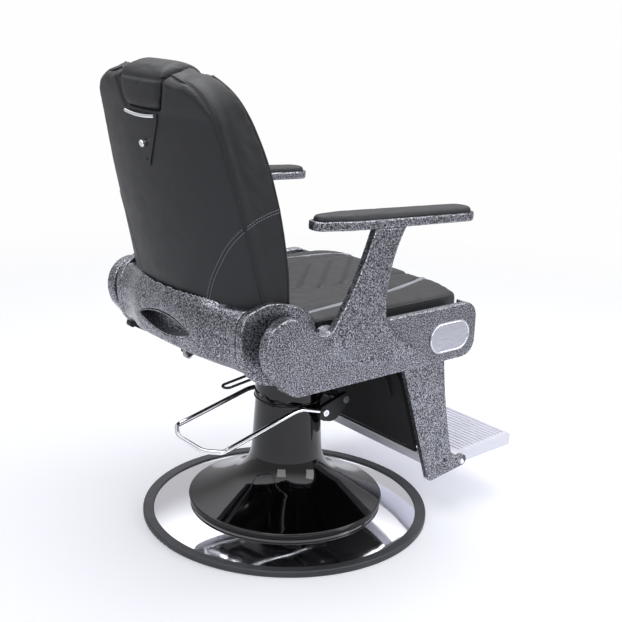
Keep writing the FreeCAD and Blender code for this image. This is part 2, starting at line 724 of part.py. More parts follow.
def seat_mount():
    """The cast mount on the ram: a hub, two ribs and the plate that carries the rails."""
    low = frame_bottom - s.mount_plate_thick
    hub = s.mount_hub_radius
    socket = mount_bottom + s.mount_hub_height
    body = turned("seat_mount", [
        (s.ram_radius, mount_bottom), (hub, mount_bottom), (hub + 6, low),
        (hub + 6, frame_bottom), (0, frame_bottom), (0, socket), (s.ram_radius, socket)])
    x, y = s.mount_plate_half_x, s.mount_plate_half_y
    plate = outline(body, "XY_Plane", [
        (-x + 20, -y), (x - 20, -y, 20), (x, -y + 20), (x, y - 20, 20), (x - 20, y),
        (-x + 20, y, 20), (-x, y - 20), (-x, -y + 20, 20)], low)
    pad(body, plate, s.mount_plate_thick)
    foot = mount_bottom + 3
    for inner, outer in ((hub - 4, x - 30), (-(x - 30), -(hub - 4))):
        nearer = foot if float(inner) > 0 else low - 3
        farther = low - 3 if float(inner) > 0 else foot
        rib = outline(body, "XZ_Plane", [
            (inner, nearer), (outer, farther), (outer, low), (inner, low)],
            -s.mount_rib / 2)
        pad(body, rib, s.mount_rib)
    rail = s.rail_inner + s.beam_size / 2
    holes = circles(body, "XY_Plane", [
        (i * rail, j * (y - 24), s.bolt_radius) for i in (-1, 1) for j in (-1, 1)], low)
    pocket(body, holes, s.mount_plate_thick)
    keep("seat_mount", body)


def mount_bolts():
    """Four bolts up through the mount's plate to the rails."""
    low = float(frame_bottom - s.mount_plate_thick)
    x = float(s.rail_inner + s.beam_size / 2)
    y = float(s.mount_plate_half_y - 24)
    solid("mount_bolts", Part.makeCompound([
        hex_bolt(i * x, j * y, low, float(frame_bottom)) for i in (-1, 1) for j in (-1, 1)]))


def seat_frame():
    """Welded frame: two rails, two cross tubes out to the housings, a front tube, the ears
    for the legrest's axle, the strut's clevis and the release lever's ear."""
    size = s.beam_size
    wide = s.housing_inner
    ear = s.ear_plate
    parts = []
    for sign in (-1, 1):
        rail = lower(sign * s.rail_inner, sign * (s.rail_inner + size))
        parts.append(block(at(rail, s.rail_front, frame_bottom),
                           at(rail + size, s.rail_rear, frame_middle)))
        x = lower(sign * (s.rail_inner + size), sign * (s.rail_inner + size + ear))
        y, z, margin = s.leg_pivot_y, s.leg_pivot_z, s.ear_margin
        parts.append(block(at(x, y - margin, frame_bottom), at(x + ear, y + margin, z)))
        parts.append(rod(margin, at(x, y, z), at(x + ear, y, z)))
    for y in (s.mid_cross_y, s.rear_cross_y):
        parts.append(block(at(-wide, y, frame_middle), at(wide, y + size, frame_top)))
    parts.append(block(at(-s.rail_inner, s.front_cross_y, frame_bottom),
                       at(s.rail_inner, s.front_cross_y + size, frame_middle)))
    front = s.mid_cross_y + size
    for x in (s.clevis_gap, -s.clevis_gap - s.clevis_thick):
        parts.append(block(at(x, front - 10, strut_z - 10),
                           at(x + s.clevis_thick, s.clevis_y + 12, strut_z + 10)))
    x = s.release_x + s.release_half + s.release_hub
    parts.append(block(at(x, s.release_y - 12, s.release_z - 12),
                       at(x + ear, s.release_y + 12, frame_middle)))
    frame = parts[0].multiFuse(parts[1:])
    bores = [rod(s.leg_axle_radius + s.run_gap, at(-wide, s.leg_pivot_y, s.leg_pivot_z),
                 at(wide, s.leg_pivot_y, s.leg_pivot_z)),
             rod(s.strut_pin_radius, at(-20, s.clevis_y, strut_z),
                 at(20, s.clevis_y, strut_z)),
             rod(s.release_pin, at(x - 1, s.release_y, s.release_z),
                 at(x + ear + 1, s.release_y, s.release_z)),
             rod(s.strut_rod_radius + 2, at(0, s.rear_cross_y - 1, strut_z),
                 at(0, s.rear_cross_y + size + 1, strut_z))]
    for bore in bores:
        frame = frame.cut(bore)
    solid("seat_frame", frame.removeSplitter())


def strut_barrel():
    """The locking gas strut's barrel, hung from the clevis at its closed end."""
    length = strut_mouth - s.strut_front
    outer, bore = s.strut_radius, s.strut_bore
    eye_z = s.clevis_y - s.strut_front
    body = turned("strut_barrel", [
        (0, 0), (outer - 2, 0), (outer, 2), (outer, length - 2), (outer - 2, length),
        (s.strut_rod_radius + s.run_gap, length),
        (s.strut_rod_radius + s.run_gap, length - 12), (bore, length - 12), (bore, 8),
        (0, 8)])
    tongue = outline(body, "YZ_Plane", [
        (-9, eye_z, 9), (0, eye_z - 9, 9), (9, eye_z), (9, 1), (-9, 1)],
        -s.clevis_gap + s.run_gap)
    pad(body, tongue, 2 * (s.clevis_gap - s.run_gap))
    eye = circles(body, "YZ_Plane", [(0, eye_z, s.strut_pin_radius)], -s.clevis_gap)
    pocket(body, eye, 2 * s.clevis_gap)
    keep("strut_barrel", put(body, 0, s.strut_front, strut_z, -90))


def frame_pins():
    """The strut's clevis pin and the release lever's pin."""
    half = s.clevis_gap + s.clevis_thick + 2
    start = s.release_x - s.release_half - s.release_hub - 3
    end = s.release_x + s.release_half + s.release_hub + s.ear_plate + 2
    solid("frame_pins", Part.makeCompound([
        rod(s.strut_pin_radius, at(-half, s.clevis_y, strut_z),
            at(half, s.clevis_y, strut_z)),
        rod(s.release_pin, at(start, s.release_y, s.release_z),
            at(end, s.release_y, s.release_z))]))


# The side housings and armrests

tray_rise = tangent(s.tray_slope)
pivot = (s.pivot_y, s.pivot_z)


def tray_level(y):
    """The height of the armrest tray's underside at y."""
    return s.tray_z + tray_rise * y


def post_edges():
    """The armrest post's two edges and its top, from the rear foot to the front foot."""
    return [(s.post_top_rear_y, tray_level(s.post_top_rear_y)),
            (s.post_top_front_y, tray_level(s.post_top_front_y), -s.post_front_arc),
            (s.post_front_y, s.housing_top)]


def housing_outline():
    """One side casting's beam from the side, with the rear lobe and the notch."""
    low, top, front = s.housing_bottom, s.housing_top, s.housing_front
    corner, lobe = s.housing_corner, s.lobe_radius
    py, pz = pivot
    return [
        (front + corner, low), (s.heel_y, low, 60), (s.heel_y + 33, low + 16, 400),
        (py + 0.82 * lobe, pz - 0.57 * lobe - 12, 90), (py + lobe, pz, lobe),
        (py, pz + lobe, lobe), (py - 0.45 * lobe, pz + 0.85 * lobe, 220),
        (s.notch_y + 24, s.notch_z + 9, -30), (s.notch_y, s.notch_z, -14),
        (s.post_rear_y, top),
        (front + corner, top, corner), (front, top - corner),
        (front, low + corner, corner)]


def side_housings():
    """The side castings. The beam has a ledge along the seat. The
    post is a blade that stands a little proud and fades into the beam over a slanting
    flare."""
    thick = s.housing_outer - s.housing_inner
    blade = s.housing_outer + s.post_proud - s.post_thick
    for side, sign in SIDES:
        inner = s.housing_inner if sign > 0 else -s.housing_outer
        body = prism(f"side_housing_{side}", "YZ_Plane", housing_outline(), inner, thick)
        front, rear = s.housing_front + s.ledge_front, s.post_rear_y - s.ledge_front
        ledge = outline(body, "YZ_Plane", [
            (front, s.housing_top - s.ledge_depth), (rear, s.housing_top - s.ledge_depth),
            (rear, s.housing_top + 1), (front, s.housing_top + 1)],
            s.housing_inner if sign > 0 else -blade)
        pocket(body, ledge, blade - s.housing_inner)
        slab = outline(body, "YZ_Plane", [
            (s.flare_front_y, s.flare_top), (s.flare_rear_y, s.flare_top, -60),
            (s.post_rear_y, s.housing_top, -s.post_rear_arc), *post_edges()],
            blade if sign > 0 else -s.housing_outer - s.post_proud)
        pad(body, slab, s.post_thick)
        flare(body, sign)
        well = s.housing_inner if sign > 0 else -s.lobe_inner
        clear = circles(body, "YZ_Plane", [(*pivot, s.disc_radius + s.disc_gap)], well)
        pocket(body, clear, s.lobe_inner - s.housing_inner)
        hole = s.lobe_inner if sign > 0 else -s.lobe_inner - s.stub_depth
        pocket(body, circles(body, "YZ_Plane", [(*pivot, s.stub_radius)], hole),
               s.stub_depth)
        keep(f"side_housing_{side}", body)


def flare(body, sign):
    """The slanting facet under the post: full width at the beam's face, a line at the
    post's face."""
    front, rear = s.flare_front_y, s.flare_rear_y
    low, top, shift = s.flare_bottom, s.flare_top, s.flare_shift
    wide = outline(body, "YZ_Plane", [
        (front - shift, low), (rear - shift, low), (rear, top), (front, top)],
        sign * s.housing_outer)
    thin = outline(body, "YZ_Plane", [
        (front - 1, top - 1), (rear - 1, top - 1), (rear, top), (front, top)],
        sign * (s.housing_outer + s.post_proud))
    loft = body.newObject("PartDesign::AdditiveLoft", "flare")
    loft.Profile = wide
    loft.Sections = [thin]
    loft.Ruled = True
    settle(body, loft)


def pivot_fittings():
    """The stub pins in the lobes, on which the recline discs turn, and their washers."""
    reach = s.lobe_inner + s.stub_depth
    face = s.disc_inner + s.disc_thick
    pins, washers = [], []
    for _, sign in SIDES:
        pins.append(rod(s.stub_radius, at(sign * (s.disc_inner + 1), *pivot),
                        at(sign * reach, *pivot)))
        ends = at(sign * face, *pivot), at(sign * s.lobe_inner, *pivot)
        washers.append(rod(s.washer_radius, *ends).cut(rod(s.stub_radius, *ends)))
    solid("pivot_pins", Part.makeCompound(pins))
    solid("pivot_washers", Part.makeCompound(washers))


def armrest_outline(inset):
    """The armrest from above, inset from its edge: round in front, narrower behind."""
    half, front, rear = (s.armrest_half - inset, s.armrest_front + inset,
                         s.armrest_rear - inset)
    taper, long = 0.62 * half, s.armrest_taper
    return [
        (-half, front + half * 0.85, half), (-0.2 * half, front), (0.2 * half, front, half),
        (half, front + half * 0.85), (half, rear - long), (taper, rear - 17, taper),
        (taper - 16, rear), (16 - taper, rear, taper), (-taper, rear - 17),
        (-half, rear - long)]


def armrests():
    """The trays on the posts and the pads in them."""
    well = s.tray_thick - s.tray_well
    for side, sign in SIDES:
        spot = (sign * (s.housing_outer - s.armrest_inset), 0, s.tray_z, s.tray_slope)
        tray = prism(f"armrest_tray_{side}", "XY_Plane", armrest_outline(0), 0,
                     s.tray_thick)
        rounded(tray, 4, lambda edge: all(v.Point.z < 0.01 for v in edge.Vertexes))
        pocket(tray, outline(tray, "XY_Plane", armrest_outline(s.tray_lip), well),
               s.tray_well)
        keep(f"armrest_tray_{side}", put(tray, *spot))
        top = s.tray_thick + s.armpad_rise
        cushion = prism(f"armrest_pad_{side}", "XY_Plane",
                        armrest_outline(s.tray_lip + 0.3), well, top - well)
        high = float(top)
        rounded(cushion, s.armpad_round, lambda edge: all(
            abs(v.Point.z - high) < 0.01 for v in edge.Vertexes))
        keep(f"armrest_pad_{side}", put(cushion, *spot))


def badge_plate():
    """The bare oval plate on the right housing."""
    y, z, half = s.badge_y, s.badge_z, s.badge_half_height
    run = s.badge_half - half
    keep("badge_plate", prism("badge_plate", "YZ_Plane", [
        (y - run, z - half), (y + run, z - half, half), (y + run + half, z, half),
        (y + run, z + half), (y - run, z + half, half), (y - run - half, z, half)],
        -s.housing_outer - s.badge_thick, s.badge_thick))


# The seat

board_top = frame_top + s.board_thick


def seat_board():
    half = s.board_half
    front, rear = s.board_front, s.board_rear
    keep("seat_board", prism("seat_board", "XY_Plane", [
        (-half + 40, front), (half - 40, front, 40), (half, front + 40), (half, rear),
        (-half, rear), (-half, front + 40, 40)], frame_top, s.board_thick))


def seat_section(y, half, side, crown):
    """The seat cushion cut across at y: flat below, upright sides, and a crowned top of
    lengthwise channels with a plain field between them."""
    low, puff, width = float(board_top), float(s.channel_puff), float(s.channel_width)
    count = int(float(s.channel_count))

    def top(x, extra=0.0):
        return Vec(x, y, side + crown * (1 - (x / half) ** 2) + extra)

    edge = half - count * width
    stops = [Vec(-half, y, low), Vec(half, y, low)]
    for i in range(count):
        x = half - i * width
        stops.append((top(x), top(x - width / 2, puff)))
    stops.append((top(edge), top(0)))
    for i in range(count):
        x = -edge - i * width
        stops.append((top(x), top(x - width / 2, puff)))
    stops.append(top(-half))
    return loop(stops)


def seat_cushion():
    half, narrow = float(s.seat_half), float(s.seat_rear_half)
    side, crown = float(s.seat_side_z), float(s.seat_crown)
    front, rear = float(s.seat_front), float(s.seat_rear)
    stations = [
        (front, half - 24, side - 14, 0.2 * crown),
        (front + 4, half - 13, side - 6, 0.4 * crown),
        (front + 18, half - 4, side - 1, 0.65 * crown),
        (front + 70, half, side, 0.9 * crown), (front + 200, half, side, crown),
        (rear - 110, half, side, crown), (rear - 75, half - 2, side, 0.9 * crown),
        (rear - 55, narrow, side - 1, 0.8 * crown), (rear - 8, narrow, side - 3,
                                                     0.4 * crown),
        (rear, narrow - 2, side - 12, 0.2 * crown)]
    solid("seat_cushion", Part.makeLoft([seat_section(*row) for row in stations], True,
                                        True))


# The backrest, in the frame that leans with it

shoulder_x = s.shoulder_half - s.shoulder_arc
back_board_top = s.notch_low_z - s.board_gap
notch_slope = (s.notch_top_half - s.notch_low_half) / (s.back_crest - s.notch_low_z)


def back_loop(depth, grow, lift, notch=True):
    """The backrest seen from the front, as a wire at depth; grow widens it and lift raises
    its top. The notch for the headrest keeps its place."""
    low, crest = float(s.back_low), float(s.back_crest + lift)
    crown = float(s.shoulder_z + s.shoulder_arc + lift)
    reach, turn = float(s.shoulder_half + grow), float(s.shoulder_arc)
    bend = turn * (1 - math.sqrt(0.5))
    rise = float(s.shoulder_z + lift)
    foot = float(s.back_low_half + 0.4 * grow)
    slope = float(notch_slope)
    inner = float(s.notch_low_half) + slope * (crest - float(s.notch_low_z))
    waist = at(s.back_waist_half + grow, depth, s.back_waist_z)
    middle = at(s.back_mid_half + grow, depth, s.back_mid_z)
    right = [Vec(foot, depth, low), (waist, middle),
             (Vec(reach, depth, rise), Vec(reach - bend, depth, crown - bend)),
             Vec(reach - turn, depth, crown)]
    if notch:
        right += [Vec(inner + 6, depth, crest), Vec(inner, depth, crest - 4),
                  at(s.notch_low_half, depth, s.notch_low_z)]
    left = []
    for i in range(len(right) - 1, -1, -1):
        stop = right[i][0] if isinstance(right[i], tuple) else right[i]
        before = right[i - 1] if i else None
        flipped = Vec(-stop.x, stop.y, stop.z)
        if isinstance(before, tuple):
            left.append((flipped, Vec(-before[1].x, before[1].y, before[1].z)))
        else:
            left.append(flipped)
    return loop(right + left)


def back_board():
    """The plywood board between the cushion and the rear panel."""
    half = s.shoulder_half - s.board_inset
    top = back_board_top
    body = prism("back_board", "XZ_Plane", [
        (-half, s.board_low), (half, s.board_low), (half, top - 60, 60),
        (half - 60, top), (-half + 60, top, 60), (-half, top - 60)], 0,
        s.back_board_thick)
    keep("back_board", put(body, 0, s.pivot_y, s.pivot_z, -s.lean))


def backrest_cushion():
    """A crowned block trimmed to the backrest's outline, wider in front than at the rear
    seam, with the board let into its back."""
    wide, deep = 300.0, float(s.back_depth)
    crown = float(s.back_crown)
    stations = [(0.0, 0.5), (0.027, 0.55), (0.108, 0.68), (0.217, 0.81), (0.362, 0.9),
                (0.582, 1.0), (0.694, 0.99), (0.807, 0.93), (0.9, 0.82), (0.976, 0.66),
                (1.058, 0.45)]
    sections = []
    for level, share in stations:
        z = level * float(s.back_crest)
        side = -deep * share
        sections.append(loop([
            Vec(-wide, 0, z), (Vec(-wide, side, z), Vec(0, side - crown * share, z)),
            Vec(wide, side, z), Vec(wide, 0, z)]))
    body = Part.makeLoft(sections, True, True)
    front = -deep - 30
    grow = float(s.front_grow) * -front / deep
    lift = float(s.front_lift) * -front / deep
    trim = Part.makeLoft([back_loop(0, 0, 0), back_loop(front, grow, lift)], True, True)
    body = body.common(trim)
    half = s.shoulder_half - s.board_inset
    board = block(at(-half, -s.back_board_thick, s.board_low), at(half, 1, back_board_top))
    solid("backrest_cushion", body.cut(board), True)


def bulge_section(z, half, depth):
    """The rear panel cut across at height z: flat in front, one shallow arc behind."""
    return loop([Vec(half, 0, z), (Vec(-half, 0, z), Vec(0, depth, z))][::-1])


def bulge(thinner, low=None, high=None):
    """The rounded block behind the seam, made thinner by an even amount."""
    base = float(s.bulge_low)
    start, slope = float(s.bulge_low_z), float(s.bulge_slope)
    crest = float(s.back_crest)
    rows = [(start - 40, 1.0), (start, 1.0), (float(s.back_waist_z), 1.0),
            (float(s.back_mid_z), 1.0), (float(s.shoulder_z), 1.0),
            (crest - 60, 0.95), (crest - 30, 0.78), (crest - 8, 0.45), (crest + 2, 0.2)]
    halves = [float(s.back_low_half) + 5, float(s.back_low_half) + 4,
              float(s.back_waist_half) + 1, float(s.back_mid_half) + 1,
              float(s.shoulder_half) + 1, float(s.shoulder_half) - 2,
              float(s.shoulder_half) - 4, float(s.shoulder_half) - 6,
              float(s.shoulder_half) - 8]
    sections = []
    for (z, share), half in zip(rows, halves):
        depth = (base - slope * (z - start)) * share - thinner
        sections.append(bulge_section(z, half - thinner, max(depth, 1.0)))
    return Part.makeLoft(sections, True, True)


def leaning(shape):
    """A shape given in the chair's frame, moved into the leaning one."""
    moved = shape.copy()
    moved.Placement = Place(at(0, s.pivot_y, s.pivot_z), Turn(ALONG_X, -float(s.lean)))\
        .inverse().multiply(moved.Placement)
    return moved


def back_panel():
    """The upholstered rear shell: it bulges out from the seam, is hollow over the board
    and tucks into the shroud below."""
    rear = float(s.bulge_low) + 20
    seam = Part.Face(back_loop(0, 0, 0)).extrude(Vec(0, rear, 0))
    low = leaning(block(at(-400, -400, 0), at(400, 800, s.panel_foot_z)))
    outer = bulge(0.0).common(seam).cut(low)
    cap = block(at(-400, -1, 0), at(400, rear, back_board_top + 2))
    inner = bulge(float(s.panel_wall)).common(cap)
    shell = outer.cut(inner)
    half = s.stem_width / 2 + s.guide_wall + 1
    depth = 2 * s.guide_wall + s.stem_thick + 1
    slot = block(at(-half, -1, back_board_top - 30), at(half, depth, s.notch_low_z + 1))
    hole = rod(s.button_stalk + s.run_gap, at(0, 0, s.button_z), at(0, rear, s.button_z))
    solid("back_panel", shell.cut(slot).cut(hole), True)


def back_frame():
    """The torque tube along the recline axis, the uprights up the board's back, the
    cranks for the strut and the pin for the legrest's link."""
    y, z = pivot
    reach = s.disc_inner
    parts = [rod(s.torque_radius, at(-reach, y, z), at(reach, y, z))]
    lean = Place(at(0, y, z), Turn(ALONG_X, -float(s.lean)))
    half = s.upright_width / 2
    for sign in (-1, 1):
        x = sign * s.upright_x
        upright = block(at(x - half, 0, 0), at(x + half, s.upright_thick, s.upright_top))
        upright.Placement = lean
        parts.append(upright)
    end = (crank_y, crank_z)
    gap = s.strut_eye_half + 1
    radius = s.crank_radius
    for x in (gap, -gap - s.crank_thick):
        parts.append(strap(x, s.crank_thick, pivot, end, radius))
    parts.append(rod(s.strut_pin_radius, at(-gap, *end), at(gap, *end)))
    link_end = s.link_inner + s.link_thick + 1
    parts.append(strap(link_end, s.crank_thick, pivot, end, radius))
    parts.append(rod(s.link_pin, at(s.link_inner - 2, *end), at(link_end, *end)))
    solid("back_frame", parts[0].multiFuse(parts[1:]).removeSplitter())


def recline_discs():
    for side, sign in SIDES:
        start = s.disc_inner if sign > 0 else -s.disc_inner - s.disc_thick
        body = ring(f"recline_disc_{side}", pivot, s.disc_radius, start, s.disc_thick,
                    s.stub_radius + s.run_gap)
        face = float(s.disc_inner + s.disc_thick) * sign
        rounded(body, 2.5, lambda edge: abs(edge.BoundBox.YLength - 2 * float(
            s.disc_radius)) < 0.1 and abs(edge.CenterOfMass.x - face) < 0.01)
        keep(f"recline_disc_{side}", body)


def shroud_section(x, filled=False):
    """The shroud cut at x: a rim, a rounded back and a slanting underside. Filled, it
    reaches forward to the pivot in place of being a thin wall."""
    y, z = float(s.pivot_y), float(s.pivot_z)
    disc = float(s.disc_radius)
    share = (x / float(s.disc_inner)) ** 2
    arc = float(s.rim_arc)
    rim = float(s.rim_y) - (arc - math.sqrt(arc * arc - x * x))
    rim_z = float(s.rim_z)
    top = (1 - share) * float(s.rim_z - 23) + share * rim_z
    top_y = (1 - share) * (float(s.rim_y) + 3.5) \
        + share * (y + math.sqrt(disc ** 2 - (rim_z - z) ** 2))
    rear = (1 - share) * float(s.shroud_rear_y) + share * (y + disc)
    knee_y = (1 - share) * float(s.shroud_knee_y) + share * (y + 0.766 * disc)
    knee_z = (1 - share) * float(s.shroud_knee_z) + share * (z - 0.643 * disc)
    foot = (y + 0.6 * disc, z - 0.79 * disc)
    outer = [(rim, rim_z), (top_y, top), (rear, z), (knee_y, knee_z), foot]
    points = [Vec(x, *p) for p in outer]
    if filled:
        return loop([points[0], (points[1], points[2]), points[3], points[4],
                     Vec(x, y, z - 0.79 * disc), Vec(x, y, rim_z)])
    centre = Vec(x, y, z)
    wall = float(s.shroud_wall)
    inner = [p - (p - centre).normalize() * wall for p in points]
    return loop([points[0], (points[1], points[2]), points[3], points[4], inner[4],
                 (inner[3], inner[2]), inner[1], inner[0]])


def grip_loop(extra, y):
    """The hand opening's lens shape as a wire at y."""
    half, rise, z = float(s.grip_half) + extra, float(s.grip_half_height) + extra, s.grip_z
    return loop([(at(-half, y, z), at(0, y, z - rise)), (at(half, y, z), at(0, y, z + rise))])


def back_shroud():
    """The curved cover between the recline discs, with its hand opening, and the cup that
    lines the opening."""
    reach = float(s.disc_inner)
    stations = [reach * i / 4 for i in range(-4, 5)]
    shell = Part.makeLoft([shroud_section(x) for x in stations], True, True)
    body = Part.makeLoft([shroud_section(x, True) for x in stations], True, True)
    floor = float(s.grip_floor_y)
    wall = float(s.grip_wall)
    deep = Vec(0, 60, 0)
    opening = Part.Face(grip_loop(wall, floor)).extrude(deep)
    hollow = Part.Face(grip_loop(0, floor + wall)).extrude(deep)
    solid("back_shroud", shell.cut(opening))
    solid("grip_cup", opening.cut(hollow).common(body))


# The headrest, in the leaning frame

def headrest_pad():
    """The pad that fills the notch: wider above, crowned in front and on top."""
    gap = float(s.head_gap_side)
    low, top = float(s.notch_low_z) + gap, float(s.head_top_z)
    base = float(s.notch_low_half)
    slope = float(notch_slope)
    front, rear = float(s.head_front), float(s.head_rear)
    rows = [(low, 7, 0.86), (low + 6, 1.5, 0.95), (low + 20, 0, 1.0), (top - 12, 0, 0.97),
            (top - 2, 2.5, 0.9), (top + 0.6 * float(s.head_crown), 10, 0.72),
            (top + float(s.head_crown), 26, 0.4)]
    sections = []
    for z, inset, share in rows:
        half = base + slope * (z - float(s.notch_low_z)) - gap - inset
        mid = (front + rear) / 2
        near = mid + (front - mid) * share
        far = mid + (rear - mid) * share
        sections.append(loop([
            Vec(-half, far, z), (Vec(-half, near + 10, z), Vec(0, near - 2, z)),
            Vec(half, near + 10, z), (Vec(half, far, z), Vec(0, far + 3, z))]))
    pad_shape = Part.makeLoft(sections, True, True)
    half = s.stem_width / 2
    y = s.guide_wall
    socket = block(at(-half, y, low - 5), at(half, y + s.stem_thick, low + s.stem_socket))
    solid("headrest_pad", pad_shape.cut(socket), True)


def headrest_stem():
    half = s.stem_width / 2
    top = s.notch_low_z + s.head_gap_side + s.stem_socket
    body = prism("headrest_stem", "XZ_Plane", [
        (-half + 6, s.stem_bottom), (half - 6, s.stem_bottom), (half, s.stem_bottom + 6),
        (half, top), (-half, top), (-half, s.stem_bottom + 6)],
        -s.guide_wall - s.stem_thick, s.stem_thick)
    keep("headrest_stem", put(body, 0, s.pivot_y, s.pivot_z, -s.lean))


def headrest_guide():
    """The channel on the board in which the stem slides."""
    half = s.stem_width / 2 + s.run_gap
    wall = s.guide_wall
    depth = s.stem_thick + 2 * wall
    body = prism("headrest_guide", "XY_Plane", [
        (-half - wall, 0), (half + wall, 0), (half + wall, depth), (-half - wall, depth)],
        s.guide_bottom, back_board_top - s.guide_bottom)
    slot = outline(body, "XY_Plane", [
        (-half, wall - s.run_gap), (half, wall - s.run_gap),
        (half, wall + s.stem_thick + s.run_gap), (-half, wall + s.stem_thick + s.run_gap)],
        s.guide_bottom)
    pocket(body, slot, back_board_top - s.guide_bottom)
    hole = circles(body, "XZ_Plane", [(0, s.button_z, s.button_stalk + s.run_gap)],
                   -depth - 1)
    pocket(body, hole, wall + 1.5)
    keep("headrest_guide", put(body, 0, s.pivot_y, s.pivot_z, -s.lean))


def panel_surface(z):
    """How far behind the seam the rear panel's middle lies at height z."""
    return s.bulge_low - s.bulge_slope * (z - s.bulge_low_z)


def tongue_plate():
    """The plate over the guide, bent to the panel and tapering to a rounded tip."""
    half, tip, low = float(s.tongue_half), float(s.tongue_tip_half), float(s.tongue_tip_z)
    top = float(s.notch_low_z) - 6
    thick = float(s.tongue_thick)
    profile = loop([
        Vec(half, 0, top), Vec(-half, 0, top), Vec(-half, 0, top - 14),
        (Vec(-tip, 0, low + tip), Vec(0, 0, low)), Vec(tip, 0, low + tip),
        Vec(half, 0, top - 14)])
    prism_shape = Part.Face(profile).extrude(Vec(0, 120, 0))
    plate = bulge(-thick).common(prism_shape).cut(bulge(0.0))
    hole = rod(s.button_stalk + s.run_gap, at(0, 0, s.button_z), at(0, 120, s.button_z))
    eyelet = rod(2.5, at(0, 0, low + 2 * tip - 11), at(0, 120, low + 2 * tip - 11))
    solid("guide_cover", plate.cut(hole).cut(eyelet), True)


def release_button():
    """The headrest's push button, whose stalk reaches through the cover to the stem."""
    depth = s.guide_wall + s.stem_thick
    surface = panel_surface(s.button_z) + s.tongue_thick
    body = turned("release_button", [
        (0, 0), (s.button_radius - 1.5, 0, 4), (s.button_radius, 2),
        (s.button_radius, s.button_proud - s.button_stroke - 1.5),
        (s.button_stalk, s.button_proud - s.button_stroke - 1.5),
        (s.button_stalk, s.button_proud + surface - depth - s.button_stroke - 0.5),
        (0, s.button_proud + surface - depth - s.button_stroke - 0.5)])
    out = surface + s.button_proud
    lean = s.lean
    y = s.pivot_y + out * cosine(lean) + s.button_z * sine(lean)
    z = s.pivot_z - out * sine(lean) + s.button_z * cosine(lean)
    keep("release_button", put(body, 0, y, z, 90 - lean))


def guide_trim():
    """The chromed bar across the top of the plate."""
    z = float(s.notch_low_z) - 8
    reach, radius = float(s.trim_half), float(s.trim_radius)
    surface = float(panel_surface(s.notch_low_z - 8)) + float(s.tongue_thick) + radius
    drop = reach ** 2 / (2 * 790)
    arc = Part.Arc(Vec(-reach, surface - drop, z + 1.5), Vec(0, surface + 0.2, z - 2),
                   Vec(reach, surface - drop, z + 1.5)).toShape()
    solid("guide_trim", swept([arc], radius), True)


# The legrest and the footrest

leg_spot = (s.leg_pivot_y, s.leg_pivot_z)
leg_reach = crank_reach * sine(s.recline_half) / sine(s.legrest_half)
leg_pin_y = s.leg_pivot_y + leg_reach * sine(s.legrest_half)
leg_pin_z = s.leg_pivot_z - leg_reach * cosine(s.legrest_half)
foot_spot = (s.foot_hinge_y, s.foot_hinge_z)


def leg_plates():
    """The side plates of the legrest, from the axle down to the footrest's hinge."""
    boss, lobe = s.leg_boss, s.foot_lobe
    py, pz = leg_spot
    fy, fz = foot_spot
    for side, sign in SIDES:
        start = s.leg_inner if sign > 0 else -s.leg_inner - s.leg_thick
        body = prism(f"leg_plate_{side}", "YZ_Plane", [
            (fy, fz - lobe), (fy + 104, fz - lobe - 14, 16), (fy + 120, fz - lobe - 2),
            (py + 103, pz - 38, 30), (py + 84, pz - 6), (py + 9, pz + boss - 1.5),
            (py, pz + boss, boss), (py - boss, pz), (py - boss + 1, pz - 13, -1500),
            (fy + 38, fz + lobe + 3, -16), (fy + 20, fz + lobe - 2),
            (fy, fz + lobe, lobe), (fy - lobe, fz, lobe)], start, s.leg_thick)
        bores = circles(body, "YZ_Plane", [
            (py, pz, s.leg_axle_radius), (fy, fz, s.foot_pin_radius),
            (fy + 63, fz + 18, 3.5)], start)
        pocket(body, bores, s.leg_thick)
        if sign > 0:
            pin = circles(body, "YZ_Plane", [(leg_pin_y, leg_pin_z, s.link_pin)],
                          s.link_inner - 2)
            pad(body, pin, s.leg_inner - s.link_inner + 2)
        keep(f"leg_plate_{side}", body)


def legrest_axle():
    half = s.leg_inner + s.leg_thick
    keep("legrest_axle", ring("legrest_axle", leg_spot, s.leg_axle_radius, -half, 2 * half))


def foot_pins():
    """The two pins on which the footrest turns."""
    outer = s.leg_inner + s.leg_thick
    pins = []
    for sign in (-1, 1):
        pins.append(rod(s.foot_pin_radius, at(sign * outer, *foot_spot),
                        at(sign * (outer - s.foot_pin_length), *foot_spot)))
    solid("foot_pins", Part.makeCompound(pins))


def cross_bar():
    half = s.leg_inner
    thick, height = s.bar_thick / 2, s.bar_height / 2
    body = prism("cross_bar", "YZ_Plane", [
        (-thick, -height), (thick, -height), (thick, height), (-thick, height)], -half,
        2 * half)
    rounded(body, 3, lambda edge: edge.BoundBox.XLength > 100)
    keep("cross_bar", put(body, 0, s.bar_y, s.bar_z, -s.leg_lean))


